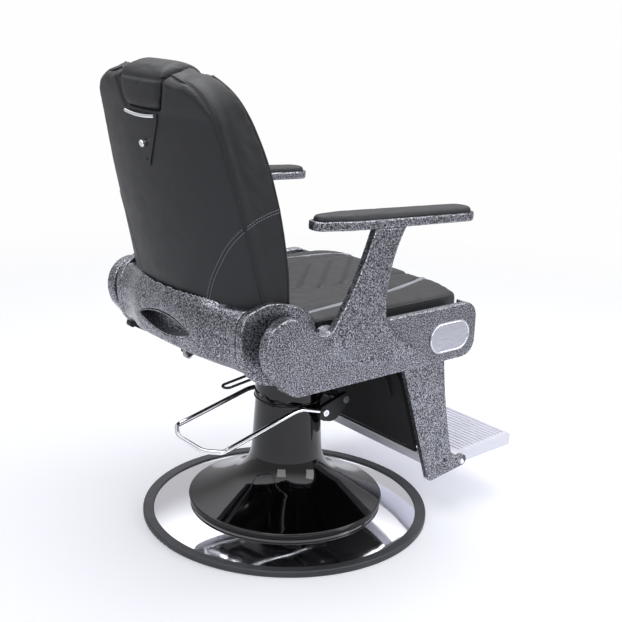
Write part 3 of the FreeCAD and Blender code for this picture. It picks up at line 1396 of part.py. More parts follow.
def calf_rest():
    """The calf pad, the board behind it and the hangers from the axle. They lie in a frame
    along the legs, whose origin is on the cross bar."""
    half, low = s.calf_half, s.calf_low
    top = low + s.calf_length
    rear = s.bar_thick / 2
    turn = s.calf_board_corner
    board = prism("calf_board", "XZ_Plane", [
        (-half, low), (half, low), (half, top - turn, turn), (half - turn, top),
        (-half + turn, top, turn), (-half, top - turn)], -rear, s.calf_board)
    keep("calf_board", put(board, 0, s.bar_y, s.bar_z, -s.leg_lean))
    front = rear - s.calf_thick
    sections = []
    corner = float(s.calf_corner)
    for z, share in ((low, 0.55), (low + turn / 3, 0.85), (low + turn, 1.0),
                     (top - turn, 1.0), (top - turn / 3, 0.85), (top, 0.55)):
        back = float(rear - s.calf_board)
        side = back + (float(front) - back) * share
        wide = float(half) - corner * (1 - share)
        sections.append(loop([
            at(-wide, back, z), (at(-wide, side + 12, z), at(-wide + 4, side + 4, z)),
            (at(-wide + 14, side, z), at(0, side - 8 * share, z)),
            (at(wide - 14, side, z), at(wide - 4, side + 4, z)), at(wide, side + 12, z),
            at(wide, back, z)]))
    cushion = doc.addObject("Part::Feature", "calf_pad")
    cushion.Shape = Part.makeLoft(sections, True, True)
    keep("calf_pad", put(cushion, 0, s.bar_y, s.bar_z, -s.leg_lean))
    lean = float(s.leg_lean)
    reach = float(top) - 14
    out = float(rear) + 5
    y = float(s.bar_y) + out * math.cos(math.radians(lean)) \
        + reach * math.sin(math.radians(lean))
    z = float(s.bar_z) - out * math.sin(math.radians(lean)) \
        + reach * math.cos(math.radians(lean))
    hangers = []
    for sign in (-1, 1):
        x = lower(sign * s.hanger_x, sign * (s.hanger_x + s.hanger_thick))
        arm = strap(x, s.hanger_thick, leg_spot, (y, z), 12)
        foot = block(at(0, rear, reach - 60), at(s.hanger_thick, rear + 10, reach + 8))
        foot.Placement = Place(at(x, s.bar_y, s.bar_z), Turn(ALONG_X, -lean))
        hangers.append(arm.fuse(foot).cut(rod(s.leg_axle_radius, at(x, *leg_spot),
                                              at(x + s.hanger_thick, *leg_spot))))
    board_space = block(at(-half, front, low), at(half, rear, top))
    board_space.Placement = Place(at(0, s.bar_y, s.bar_z), Turn(ALONG_X, -lean))
    solid("calf_hangers", Part.makeCompound([h.cut(board_space) for h in hangers]))


def foot_plate():
    """The ribbed footrest: a wedge that hinges on the legs' lobes."""
    fy, fz = foot_spot
    half, eye = s.foot_half, s.foot_lobe - 2
    front, low, top = s.foot_front_y, s.foot_front_low, s.foot_front_top
    body = prism("foot_plate", "YZ_Plane", [
        (front, low), (fy - 18, fz - eye - 3), (fy, fz - eye, eye), (fy + eye, fz, eye),
        (fy, fz + eye), (front + 6, top, 6), (front, top - 6)], -half, 2 * half)
    bore = circles(body, "YZ_Plane", [(fy, fz, s.foot_pin_radius + s.run_gap)], -half)
    pocket(body, bore, 2 * half)
    count = int(float(s.foot_rib_count))
    rise = (top - fz - eye) / (front + 6 - fy)
    pitch = (fy - 22 - front) / count
    for i in range(count):
        y = front + 12 + i * pitch
        z = top + rise * (y - front - 6)
        groove = outline(body, "YZ_Plane", [
            (y, z - s.foot_rib_depth), (y + s.foot_rib_width, z - s.foot_rib_depth),
            (y + s.foot_rib_width, z + 6), (y, z + 6)], -half + 14)
        pocket(body, groove, 2 * (half - 14))
    keep("foot_plate", body)


# The recline linkage

def legrest_link():
    """The bar from the backrest's crank to the leg plate, which raises the legrest as the
    back goes down. It is bent to pass under the rear cross tube. Its front eye is large,
    because the pin moves a little in it."""
    x, thick = s.link_inner, s.link_thick
    a = (crank_y, crank_z)
    slack = (crank_reach - crank_drop) - (leg_reach - leg_reach * cosine(s.legrest_half))
    b = (leg_pin_y, leg_pin_z + slack / 2)
    knee = (crank_y + s.link_knee_y, crank_z + s.link_knee_z)
    bar = strap(x, thick, a, knee, s.link_half_height)
    bar = bar.fuse(strap(x, thick, knee, b, s.link_half_height))
    parts = [rod(s.crank_radius, at(x, *a), at(x + thick, *a)),
             rod(s.link_eye, at(x, *b), at(x + thick, *b))]
    bar = bar.multiFuse(parts)
    bar = bar.cut(rod(s.link_pin + s.run_gap, at(x - 1, *a), at(x + thick + 1, *a)))
    bar = bar.cut(rod(s.link_pin + s.open_gap, at(x - 1, *b), at(x + thick + 1, *b)))
    solid("legrest_link", bar.removeSplitter())


def strut_rod():
    """The strut's rod with its piston and the slotted eye on the backrest's crank pin."""
    y, z = crank_y, strut_z
    half = s.strut_eye_half
    swing = (crank_reach - crank_drop) / 2
    slot = s.strut_pin_radius + s.strut_slot_gap
    eye = strap(-half, 2 * half, (y, z - swing), (y, z + swing), slot + 4)
    shape = eye.multiFuse([
        rod(s.strut_rod_radius, at(0, strut_tail, z), at(0, y - slot - 1, z)),
        rod(s.strut_bore - s.run_gap, at(0, strut_tail, z), at(0, strut_tail + 10, z))])
    hole = strap(-half - 1, 2 * half + 2, (y, z - swing), (y, z + swing), slot)
    solid("strut_rod", shape.cut(hole).removeSplitter())


def recline_lever():
    """The thin wire loop that releases the strut, on its hub."""
    x, half, wire = s.release_x, s.release_half, s.release_wire
    hub = s.release_hub
    y, z = s.release_y, s.release_z
    slope = (s.release_tip_z - s.release_bend_z) / (s.release_tip_y - s.release_bend_y)
    tip_y = s.release_tip_y - wire
    near = [at(x - half, y + hub - 3, z + 2), at(x - half, s.release_bend_y,
                                                s.release_bend_z),
            at(x - half, tip_y, s.release_bend_z + slope * (tip_y - s.release_bend_y))]
    points = near + [Vec(p.x + 2 * float(half), p.y, p.z) for p in reversed(near)]
    bend = half - 0.5
    wire_loop = swept(bent_path(points, [20, bend, bend, 20]), wire)
    reach = half + hub - 1
    hub_shape = rod(hub, at(x - reach, y, z), at(x + reach, y, z))
    bore = rod(s.release_pin + s.run_gap, at(x - reach - 1, y, z), at(x + reach + 1, y, z))
    solid("recline_lever", hub_shape.fuse(wire_loop).cut(bore).removeSplitter())


for make in (base_plate, rim_ring, base_cover, bell_cover, pump_cylinder, cylinder_bolts,
             bearing_ring, head_bush, head_housing, head_cover, pump_plunger, lever_axle,
             lever_arms, lever_rod, lever_ferrules, piston_rod, seat_mount,
             mount_bolts, seat_frame, strut_barrel, frame_pins, side_housings,
             pivot_fittings, armrests, badge_plate, seat_board, seat_cushion, back_board,
             backrest_cushion, back_panel, back_frame, recline_discs, back_shroud,
             headrest_pad, headrest_stem, headrest_guide, tongue_plate, release_button,
             guide_trim, leg_plates, legrest_axle, foot_pins, cross_bar, calf_rest,
             foot_plate, legrest_link, strut_rod, recline_lever):
    make()
doc.recompute()

for thing in doc.Objects:
    if "Invalid" in thing.State or "Error" in thing.State:
        raise RuntimeError(f"{thing.Label} can't be computed")
for label, thing in nodes.items():
    if thing.Shape.isNull() or not thing.Shape.isValid() or not thing.Shape.Solids:
        raise RuntimeError(f"{label} isn't a valid solid")

os.makedirs("parts", exist_ok=True)
for label, thing in nodes.items():
    thing.Shape.exportStep(f"parts/{label}.step")
print(len(nodes), "sub-parts")
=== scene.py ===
import math

import bmesh
import bpy
import numpy as np
from mathutils import Matrix, Vector
from mathutils.bvhtree import BVHTree


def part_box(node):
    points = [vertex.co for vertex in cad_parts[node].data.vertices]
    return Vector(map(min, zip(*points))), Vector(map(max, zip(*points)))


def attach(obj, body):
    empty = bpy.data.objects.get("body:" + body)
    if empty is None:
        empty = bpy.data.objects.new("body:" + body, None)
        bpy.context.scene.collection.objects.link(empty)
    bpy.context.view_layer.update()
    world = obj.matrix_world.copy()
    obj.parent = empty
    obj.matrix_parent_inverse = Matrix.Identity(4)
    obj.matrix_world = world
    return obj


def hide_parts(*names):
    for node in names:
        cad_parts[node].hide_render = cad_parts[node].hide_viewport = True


bl_info = {
    "name": "Hydraulic barber chair",
    "version": (1, 0, 0),
    "blender": (4, 5, 0),
    "location": "3D View > Sidebar > Barber chair",
    "description": "Dresses the packed barber chair with upholstery, finishes and a stage",
    "category": "Object",
}

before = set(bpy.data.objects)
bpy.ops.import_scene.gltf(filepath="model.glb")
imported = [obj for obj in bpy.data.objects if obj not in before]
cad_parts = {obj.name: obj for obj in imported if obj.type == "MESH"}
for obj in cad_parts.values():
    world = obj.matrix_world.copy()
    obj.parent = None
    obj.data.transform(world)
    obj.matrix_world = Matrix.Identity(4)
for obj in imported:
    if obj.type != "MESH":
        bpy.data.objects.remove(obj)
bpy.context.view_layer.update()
MM = 0.001

# The frame that leans with the backrest: its origin is the recline pivot.
PIVOT = Vector((0, 0.248, 0.552))
LEAN = math.radians(15.4)
LEANING = Matrix.Translation(PIVOT) @ Matrix.Rotation(-LEAN, 4, "X")
# The frame that lies along the legs, from the cross bar up.
LEG = Matrix.Translation((0, -0.225, 0.169)) @ Matrix.Rotation(math.radians(-18.3), 4, "X")

# Upholstery, in mm: half width of the light inserts at the front (or low) end and the other,
# where they lie, the width of a sewn channel's flank and the spacing of the slanting seams.
STRIP_HALF = (5.2, 4.8)
SEAT_STRIP_Y = (-300, 120)
BACK_STRIP_Z = (600, 1020)
CHANNEL = 4.2
STRIP_FLANK = 3.0
QUILT_PITCH = 68.0
# Middle of the inserts: share of the way along, and distance from the chair's middle (mm).
SEAT_STRIP = [(0.0, 136), (0.12, 160), (0.25, 174), (0.38, 186), (0.77, 203), (1.0, 212)]
BACK_STRIP = [(0.0, 196), (0.3, 182), (0.6, 168), (0.85, 152), (1.0, 140)]


class ChairColours(bpy.types.PropertyGroup):
    vinyl: bpy.props.StringProperty(
        name="Vinyl", default="#1f2023",
        description="Black upholstery vinyl, sRGB hex")
    insert: bpy.props.StringProperty(
        name="Inserts", default="#9a9ba3",
        description="Light grey vinyl strips let into the seat and back, sRGB hex")
    thread: bpy.props.StringProperty(
        name="Thread", default="#7c7d84", description="Sewing thread, sRGB hex")
    vein: bpy.props.StringProperty(
        name="Hammered dark", default="#1d1e21",
        description="Dark veins of the hammered enamel, sRGB hex")
    silver: bpy.props.StringProperty(
        name="Hammered light", default="#b9bac4",
        description="Light flakes of the hammered enamel, sRGB hex")
    enamel: bpy.props.StringProperty(
        name="Gloss enamel", default="#050506",
        description="Gloss black enamel of the bell and the column, sRGB hex")
    rubber: bpy.props.StringProperty(
        name="Rubber", default="#2a2b2e", description="Rim rubber, sRGB hex")
    floor: bpy.props.StringProperty(
        name="Floor", default="#f6f7fc", description="Studio floor, sRGB hex")


class ChairSizes(bpy.types.PropertyGroup):
    voxel: bpy.props.FloatProperty(
        name="Remesh size", default=0.006, min=0.003, max=0.02, unit="LENGTH",
        description="Edge length of the padded pieces' grid")
    swell: bpy.props.FloatProperty(
        name="Swell limit", default=0.004, min=0.0, max=0.02, unit="LENGTH",
        description="How far air pressure may move the skin of the seat and the backrest")
    piping: bpy.props.FloatProperty(
        name="Piping radius", default=0.0018, min=0.001, max=0.01, unit="LENGTH",
        description="Radius of the welt sewn into the backrest's seams")
    seam: bpy.props.FloatProperty(
        name="Seam depth", default=0.0042, min=0.0, max=0.01, unit="LENGTH",
        description="How deep the sewn channels are drawn in")
    stitch: bpy.props.FloatProperty(
        name="Stitch length", default=0.005, min=0.002, max=0.02, unit="LENGTH",
        description="Length of one visible stitch")


class StageSettings(bpy.types.PropertyGroup):
    lens: bpy.props.FloatProperty(
        name="Focal length", default=66.0, min=20, max=200, unit="CAMERA",
        description="Focal length on a 36 mm wide sensor")
    lamp: bpy.props.FloatProperty(
        name="Lamp level", default=1.0, min=0.1, max=4,
        description="Factor on the power of all lamps")


# Materials

def linear(text):
    """An sRGB hex colour as linear RGBA."""
    parts = [int(text[i:i + 2], 16) / 255 for i in (1, 3, 5)]
    return [c / 12.92 if c <= 0.04045 else ((c + 0.055) / 1.055) ** 2.4
            for c in parts] + [1.0]


def add(tree, kind, inputs=None, **settings):
    """Add a node with its settings; an input is given a value or another node's socket."""
    made = tree.nodes.new(kind)
    for key, value in settings.items():
        setattr(made, key, value)
    for key, value in (inputs or {}).items():
        if isinstance(value, bpy.types.NodeSocket):
            tree.links.new(value, made.inputs[key])
        else:
            made.inputs[key].default_value = value
    return made


def new_material(name):
    """An empty material with its shader, output and object coordinates."""
    material = bpy.data.materials.new(name)
    material.use_nodes = True
    tree = material.node_tree
    tree.nodes.clear()
    shader = add(tree, "ShaderNodeBsdfPrincipled")
    output = add(tree, "ShaderNodeOutputMaterial")
    tree.links.new(shader.outputs["BSDF"], output.inputs["Surface"])
    place = add(tree, "ShaderNodeTexCoord").outputs["Object"]
    return material, tree, shader, place


def ramp(tree, factor, stops):
    """A colour ramp through (position, sRGB hex) stops."""
    made = add(tree, "ShaderNodeValToRGB", {"Fac": factor})
    points = made.color_ramp.elements
    while len(points) < len(stops):
        points.new(0.5)
    for point, (position, colour) in zip(points, stops):
        point.position = position
        point.color = linear(colour)
    return made.outputs["Color"]


def set_shader(shader, **values):
    for key, value in values.items():
        shader.inputs[key.replace("_", " ").title().replace("Ior", "IOR")].default_value = value


def bump(tree, shader, height, strength, distance):
    made = add(tree, "ShaderNodeBump", {
        "Height": height, "Strength": strength, "Distance": distance})
    tree.links.new(made.outputs["Normal"], shader.inputs["Normal"])
    return made


def hammered_enamel(colours):
    """Hammered silver-vein enamel on cast aluminium: metal flakes gather in cells of about
    2 mm and leave dark veins between them, and the surface is a dimpled gloss."""
    material, tree, shader, place = new_material("hammered_silver_vein_enamel")
    # cells of 2.8 mm, a little coarser than the real 2 mm, so that they show
    cells = add(tree, "ShaderNodeTexNoise", {
        "Vector": place, "Scale": 360.0, "Detail": 0.7, "Roughness": 0.5,
        "Distortion": 0.3})
    broad = add(tree, "ShaderNodeTexNoise", {
        "Vector": place, "Scale": 26.0, "Detail": 2.0, "Roughness": 0.5})
    shift = add(tree, "ShaderNodeMath", {
        0: broad.outputs["Fac"], 1: 0.08, 2: -0.04}, operation="MULTIPLY_ADD")
    total = add(tree, "ShaderNodeMath", {
        0: cells.outputs["Fac"], 1: shift.outputs[0]}, operation="ADD")
    colour = ramp(tree, total.outputs[0], [
        (0.34, colours.vein), (0.47, "#64656b"), (0.56, "#8a8b93"), (0.68, colours.silver)])
    tree.links.new(colour, shader.inputs["Base Color"])
    rough = add(tree, "ShaderNodeMapRange", {
        "Value": cells.outputs["Fac"], "From Min": 0.3, "From Max": 0.7,
        "To Min": 0.44, "To Max": 0.3})
    tree.links.new(rough.outputs["Result"], shader.inputs["Roughness"])
    set_shader(shader, metallic=0.85, coat_weight=0.5, coat_roughness=0.12)
    bump(tree, shader, cells.outputs["Fac"], 0.55, 0.0006)
    return material


def vinyl(name, colours, strips=None):
    """Calendered PVC on knit backing: a fine pebble grain of about 1 mm, drawn at 1.6 mm so
    that it shows, over a soft unevenness of the foam. Strips is a mask for the inserts."""
    material, tree, shader, place = new_material(name)
    grain = add(tree, "ShaderNodeTexVoronoi", {
        "Vector": place, "Scale": 620.0, "Randomness": 1.0})
    foam = add(tree, "ShaderNodeTexNoise", {
        "Vector": place, "Scale": 24.0, "Detail": 3.0, "Roughness": 0.55})
    tone = add(tree, "ShaderNodeMapRange", {
        "Value": foam.outputs["Fac"], "From Min": 0.3, "From Max": 0.7,
        "To Min": 0.92, "To Max": 1.08})
    base = linear(colours.vinyl)
    plain = add(tree, "ShaderNodeVectorMath", {
        0: base[:3], "Scale": tone.outputs["Result"]}, operation="SCALE")
    surface = plain.outputs["Vector"]
    if strips:
        mask = strips(tree, place)
        mixed = add(tree, "ShaderNodeMix", {
            "Factor": mask, 6: surface, 7: linear(colours.insert)}, data_type="RGBA")
        surface = mixed.outputs[2]
    tree.links.new(surface, shader.inputs["Base Color"])
    rough = add(tree, "ShaderNodeMapRange", {
        "Value": foam.outputs["Fac"], "From Min": 0.3, "From Max": 0.7,
        "To Min": 0.44, "To Max": 0.56})
    tree.links.new(rough.outputs["Result"], shader.inputs["Roughness"])
    set_shader(shader, coat_weight=0.03, coat_roughness=0.4, sheen_weight=0.04,
               sheen_roughness=0.45, specular_ior_level=0.38)
    height = add(tree, "ShaderNodeMath", {
        0: foam.outputs["Fac"], 1: 2.5, 2: grain.outputs["Distance"]},
        operation="MULTIPLY_ADD")
    bump(tree, shader, height.outputs[0], 0.16, 0.0005)
    return material


def gloss_enamel(colours):
    """Stoved gloss enamel on spun steel: deep black with a slow waviness in reflections."""
    material, tree, shader, place = new_material("gloss_black_enamel")
    wave = add(tree, "ShaderNodeTexNoise", {"Vector": place, "Scale": 9.0, "Detail": 1.0})
    dust = add(tree, "ShaderNodeTexNoise", {
        "Vector": place, "Scale": 300.0, "Detail": 2.0})
    rough = add(tree, "ShaderNodeMapRange", {
        "Value": dust.outputs["Fac"], "From Min": 0.45, "From Max": 0.8,
        "To Min": 0.045, "To Max": 0.1})
    tree.links.new(rough.outputs["Result"], shader.inputs["Roughness"])
    set_shader(shader, base_color=linear(colours.enamel))
    bump(tree, shader, wave.outputs["Fac"], 0.05, 0.002)
    return material


def chrome():
    """Bright chromium plate over polished steel: a cool mirror with faint polishing haze."""
    material, tree, shader, place = new_material("chrome_plate")
    haze = add(tree, "ShaderNodeTexNoise", {"Vector": place, "Scale": 55.0, "Detail": 4.0})
    rough = add(tree, "ShaderNodeMapRange", {
        "Value": haze.outputs["Fac"], "From Min": 0.35, "From Max": 0.75,
        "To Min": 0.05, "To Max": 0.12})
    tree.links.new(rough.outputs["Result"], shader.inputs["Roughness"])
    set_shader(shader, base_color=linear("#f2f2f6"), metallic=1.0)
    return material


def moulded_rubber(colours):
    """Moulded EPDM rubber: satin charcoal, with a faint bloom and fine moulding grain."""
    material, tree, shader, place = new_material("moulded_rubber")
    bloom = add(tree, "ShaderNodeTexNoise", {"Vector": place, "Scale": 18.0, "Detail": 4.0})
    colour = ramp(tree, bloom.outputs["Fac"], [
        (0.35, colours.rubber), (0.7, "#3a3b3f")])
    tree.links.new(colour, shader.inputs["Base Color"])
    grain = add(tree, "ShaderNodeTexNoise", {"Vector": place, "Scale": 900.0, "Detail": 1.0})
    set_shader(shader, roughness=0.5)
    bump(tree, shader, grain.outputs["Fac"], 0.2, 0.0003)
    return material


def satin_metal(name, dark, light, dull, stretch=(1, 1, 1), metal=1.0, lines=260.0):
    """Ground or brushed metal: fine lines whose spacing follows the stretch of the grain."""
    material, tree, shader, place = new_material(name)
    turned = add(tree, "ShaderNodeMapping", {"Vector": place, "Scale": stretch})
    grain = add(tree, "ShaderNodeTexNoise", {
        "Vector": turned.outputs["Vector"], "Scale": lines, "Detail": 3.0,
        "Roughness": 0.6})
    colour = ramp(tree, grain.outputs["Fac"], [(0.3, dark), (0.7, light)])
    tree.links.new(colour, shader.inputs["Base Color"])
    rough = add(tree, "ShaderNodeMapRange", {
        "Value": grain.outputs["Fac"], "From Min": 0.3, "From Max": 0.7,
        "To Min": dull - 0.06, "To Max": dull + 0.08})
    tree.links.new(rough.outputs["Result"], shader.inputs["Roughness"])
    set_shader(shader, metallic=metal)
    bump(tree, shader, grain.outputs["Fac"], 0.12, 0.0002)
    return material


def powder_coat(name="satin_black_powder_coat", dark="#131416", light="#1e1f22", dull=0.45):
    """Baked polyester powder on steel: satin black with an orange-peel texture of 2 mm."""
    material, tree, shader, place = new_material(name)
    peel = add(tree, "ShaderNodeTexNoise", {"Vector": place, "Scale": 420.0, "Detail": 2.0})
    colour = ramp(tree, peel.outputs["Fac"], [(0.3, dark), (0.7, light)])
    tree.links.new(colour, shader.inputs["Base Color"])
    set_shader(shader, roughness=dull)
    bump(tree, shader, peel.outputs["Fac"], 0.25, 0.0003)
    return material


def lining_cloth():
    """Spunbonded polypropylene lining over the boards' backs: matt black, 1.5 mm bonds."""
    material, tree, shader, place = new_material("spunbonded_lining")
    bonds = add(tree, "ShaderNodeTexVoronoi", {
        "Vector": place, "Scale": 640.0, "Randomness": 0.35})
    colour = ramp(tree, bonds.outputs["Distance"], [(0.1, "#0c0c0d"), (0.7, "#161618")])
    tree.links.new(colour, shader.inputs["Base Color"])
    set_shader(shader, roughness=0.85)
    bump(tree, shader, bonds.outputs["Distance"], 0.3, 0.0003)
    return material


def sewing_thread(colours):
    """Bonded polyester thread: a matt twist."""
    material, tree, shader, place = new_material("bonded_thread")
    twist = add(tree, "ShaderNodeTexNoise", {"Vector": place, "Scale": 800.0, "Detail": 1.0})
    colour = ramp(tree, twist.outputs["Fac"], [(0.3, "#5c5d62"), (0.7, colours.thread)])
    tree.links.new(colour, shader.inputs["Base Color"])
    set_shader(shader, roughness=0.7)
    return material


def strip_line(back):
    """The mask of the light inserts, read from object coordinates. On the seat they run in
    from the rear corners to the front, and curve inward; on the back they run up."""
    def mask(tree, place):
        axis, (start, end), stops = (("Z", BACK_STRIP_Z, BACK_STRIP) if back
                                     else ("Y", SEAT_STRIP_Y, SEAT_STRIP))
        place_parts = add(tree, "ShaderNodeSeparateXYZ", {"Vector": place})
        along = add(tree, "ShaderNodeMapRange", {
            "Value": place_parts.outputs[axis],
            "From Min": start * MM, "From Max": end * MM, "To Min": 0.0, "To Max": 1.0})
        middle = add(tree, "ShaderNodeFloatCurve", {"Value": along.outputs["Result"]})
        curve = middle.mapping.curves[0]
        stops = [(share, spot * MM) for share, spot in stops]
        curve.points[0].location = stops[0]
        curve.points[1].location = stops[-1]
        for stop in stops[1:-1]:
            curve.points.new(*stop)
        middle.mapping.update()
        side = add(tree, "ShaderNodeMath", {0: place_parts.outputs["X"]},
                   operation="ABSOLUTE")
        away = add(tree, "ShaderNodeMath", {
            0: side.outputs[0], 1: middle.outputs[0]}, operation="SUBTRACT")
        away = add(tree, "ShaderNodeMath", {0: away.outputs[0]}, operation="ABSOLUTE")
        half = add(tree, "ShaderNodeMapRange", {
            "Value": along.outputs["Result"], "To Min": STRIP_HALF[0] * MM,
            "To Max": STRIP_HALF[1] * MM})
        inside = add(tree, "ShaderNodeMath", {
            0: half.outputs["Result"], 1: away.outputs[0]}, operation="GREATER_THAN")
        if back:
            front = add(tree, "ShaderNodeVectorMath", {
                0: place, 1: (0, math.cos(LEAN), -math.sin(LEAN))}, operation="DOT_PRODUCT")
            limit = PIVOT.y * math.cos(LEAN) - PIVOT.z * math.sin(LEAN) - 0.04
            facing = add(tree, "ShaderNodeMath", {
                0: front.outputs["Value"], 1: limit}, operation="LESS_THAN")
            below = add(tree, "ShaderNodeMath", {
                0: place_parts.outputs["Z"], 1: BACK_STRIP_Z[1] * MM}, operation="LESS_THAN")
            facing = add(tree, "ShaderNodeMath", {
                0: facing.outputs[0], 1: below.outputs[0]}, operation="MULTIPLY")
        else:
            facing = add(tree, "ShaderNodeMath", {
                0: place_parts.outputs["Z"], 1: 0.556}, operation="GREATER_THAN")
        both = add(tree, "ShaderNodeMath", {
            0: inside.outputs[0], 1: facing.outputs[0]}, operation="MULTIPLY")
        return both.outputs[0]
    return mask


materials = {}


def paint(names, material):
    """Give CAD nodes a material."""
    for name in names:
        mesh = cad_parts[name].data
        mesh.materials.clear()
        mesh.materials.append(material)


# Padded pieces

def new_piece(name, mesh, material, body):
    """Link a finished mesh, give it its material and let it ride on a body."""
    piece = bpy.data.objects.new(name, mesh)
    bpy.context.scene.collection.objects.link(piece)
    mesh.materials.clear()
    mesh.materials.append(material)
    mesh.shade_smooth()
    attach(piece, body)
    return piece


def places(mesh):
    flat = np.empty(len(mesh.vertices) * 3)
    mesh.vertices.foreach_get("co", flat)
    return flat.reshape(-1, 3)


def set_places(mesh, points):
    mesh.vertices.foreach_set("co", np.ascontiguousarray(points).ravel())
    mesh.update()


def skin_normals(mesh):
    flat = np.empty(len(mesh.vertices) * 3)
    mesh.vertices.foreach_get("normal", flat)
    return flat.reshape(-1, 3)


def evaluated(piece):
    """A copy of the piece's mesh with its modifiers applied."""
    graph = bpy.context.evaluated_depsgraph_get()
    return bpy.data.meshes.new_from_object(piece.evaluated_get(graph))


def swap_mesh(piece):
    """Apply the piece's modifiers."""
    made = evaluated(piece)
    piece.modifiers.clear()
    piece.data = made


def merged_form(name, nodes):
    """One new mesh with copies of some CAD nodes, their split corners merged. A node may be
    given as (name, shift) to add a copy of it moved."""
    form = bmesh.new()
    for node in nodes:
        node, shift = node if isinstance(node, tuple) else (node, (0, 0, 0))
        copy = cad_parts[node].data.copy()
        copy.transform(Matrix.Translation(shift))
        form.from_mesh(copy)
        bpy.data.meshes.remove(copy)
    bmesh.ops.remove_doubles(form, verts=form.verts, dist=2e-5)
    mesh = bpy.data.meshes.new(name)
    form.to_mesh(mesh)
    form.free()
    return mesh


def keep_outer_skin(mesh):
    """Remove what a remesh leaves inside: every island but the widest."""
    form = bmesh.new()
    form.from_mesh(mesh)
    left, islands = set(form.verts), []
    while left:
        edge = [left.pop()]
        island = list(edge)
        while edge:
            found = {e.other_vert(v) for v in edge for e in v.link_edges} & left
            left -= found
            edge = list(found)
            island += edge
        islands.append(island)
    islands.sort(key=lambda group: max(v.co.x for v in group) - min(v.co.x for v in group))
    if len(islands) > 1:
        bmesh.ops.delete(form, geom=[v for group in islands[:-1] for v in group],
                         context="VERTS")
        form.to_mesh(mesh)
    form.free()


def gridded(name, nodes, voxel, soften):
    """A piece with an even grid over the form of some CAD nodes, eased by smoothing."""
    piece = bpy.data.objects.new(name, merged_form(name, nodes))
    bpy.context.scene.collection.objects.link(piece)
    grid = piece.modifiers.new("grid", "REMESH")
    grid.mode = "VOXEL"
    grid.voxel_size = voxel
    ease = piece.modifiers.new("ease", "SMOOTH")
    ease.factor = 0.5
    ease.iterations = soften
    swap_mesh(piece)
    keep_outer_skin(piece.data)
    return piece


def grown_pad(nodes, name, voxel, cap, hold, soften=6):
    """A padded skin grown from the form of CAD nodes: remeshed, then blown up by air
    pressure, with each point's travel capped, and held where hold gives 0."""
    piece = gridded(name, nodes, voxel, soften)
    rest = places(piece.data)
    grip = hold(rest)[:, None]
    cloth = piece.modifiers.new("air", "CLOTH")
    cloth.settings.use_pressure = True
    cloth.settings.uniform_pressure_force = 4.0
    cloth.settings.effector_weights.gravity = 0
    for step in range(1, 21):
        bpy.context.scene.frame_set(step)
    blown = evaluated(piece)
    moved = places(blown) - rest
    far = np.linalg.norm(moved, axis=1, keepdims=True)
    moved *= np.minimum(1, cap / np.maximum(far, 1e-9))
    piece.modifiers.clear()
    set_places(piece.data, rest + moved * grip)
    bpy.context.scene.frame_set(1)
    fine = piece.modifiers.new("fine", "SUBSURF")
    fine.levels = fine.render_levels = 1
    swap_mesh(piece)
    return piece


def press(piece, depth):
    """Move the skin along its normals by depth(points), outward where positive."""
    mesh = piece.data
    points = places(mesh)
    set_places(mesh, points + skin_normals(mesh) * depth(points)[:, None])


def finish_pad(piece, material, body, *nodes, fill=0.7):
    piece.data.materials.clear()
    piece.data.materials.append(material)
    piece.data.shade_smooth()
    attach(piece, body)
    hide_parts(*nodes)
    return piece


def in_frame(matrix, points):
    """Points given in the chair's frame, as seen from another."""
    turn = np.array(matrix.inverted())
    return points @ turn[:3, :3].T + turn[:3, 3]


def ridge(distance, width):
    return np.exp(-(distance / width) ** 2)


def ease(share):
    """A smooth step from 0 to 1."""
    share = np.clip(share, 0, 1)
    return share * share * (3 - 2 * share)


def reshape(piece, change, matrix=Matrix()):
    """Move every point of a piece by change, which works in mm in a frame of its own."""
    x, y, z = in_frame(matrix, places(piece.data)).T / MM
    moved = np.column_stack(change(x, y, z)) * MM
    turn = np.array(matrix)
    set_places(piece.data, moved @ turn[:3, :3].T + turn[:3, 3])


# Seams, welts and stitches

def tube(name, points, radius, material, body, resolution=3):
    """A round welt along points, made from a smooth curve."""
    curve = bpy.data.curves.new(name, "CURVE")
    curve.dimensions = "3D"
    curve.bevel_depth = radius
    curve.bevel_resolution = resolution
    curve.use_fill_caps = True
    spline = curve.splines.new("NURBS")
    spline.points.add(len(points) - 1)
    for knot, point in zip(spline.points, points):
        knot.co = (*point, 1)
    spline.order_u = 3
    spline.use_endpoint_u = True
    spline.resolution_u = 3
    holder = bpy.data.objects.new(name + "_line", curve)
    bpy.context.scene.collection.objects.link(holder)
    mesh = evaluated(holder)
    bpy.data.objects.remove(holder)
    return new_piece(name, mesh, material, body)


def even_points(points, step):
    """Points at an even step along a run of straight stretches."""
    points = [Vector(p) for p in points]
    found, left = [points[0].copy()], step
    for a, b in zip(points, points[1:]):
        way, length = b - a, (b - a).length
        done = 0.0
        while length - done >= left:
            done += left
            found.append(a + way * (done / length))
            left = step
        left -= length - done
    return found


def laid_on(skin, points, lift=0.0):
    """Points moved onto a skin and lifted off it, then evened out."""
    placed = []
    for point in points:
        spot, normal, _, _ = skin.find_nearest(point)
        placed.append(spot + normal * lift)
    for _ in range(4):
        placed = [placed[0]] + [(a + b * 2 + c) / 4 for a, b, c in zip(
            placed, placed[1:], placed[2:])] + [placed[-1]]
    return placed


def smooth_run(points):
    """A run of points with its corners cut, to a smooth line."""
    points = [Vector(p) for p in points]
    for _ in range(3):
        cut = [points[0]]
        for a, b in zip(points, points[1:]):
            cut += [a.lerp(b, 0.25), a.lerp(b, 0.75)]
        points = cut + [points[-1]]
    return points


def surface_of(*pieces):
    """A search tree over the skins of some pieces."""
    form = bmesh.new()
    for piece in pieces:
        form.from_mesh(piece.data)
    tree = BVHTree.FromBMesh(form)
    form.free()
    return tree


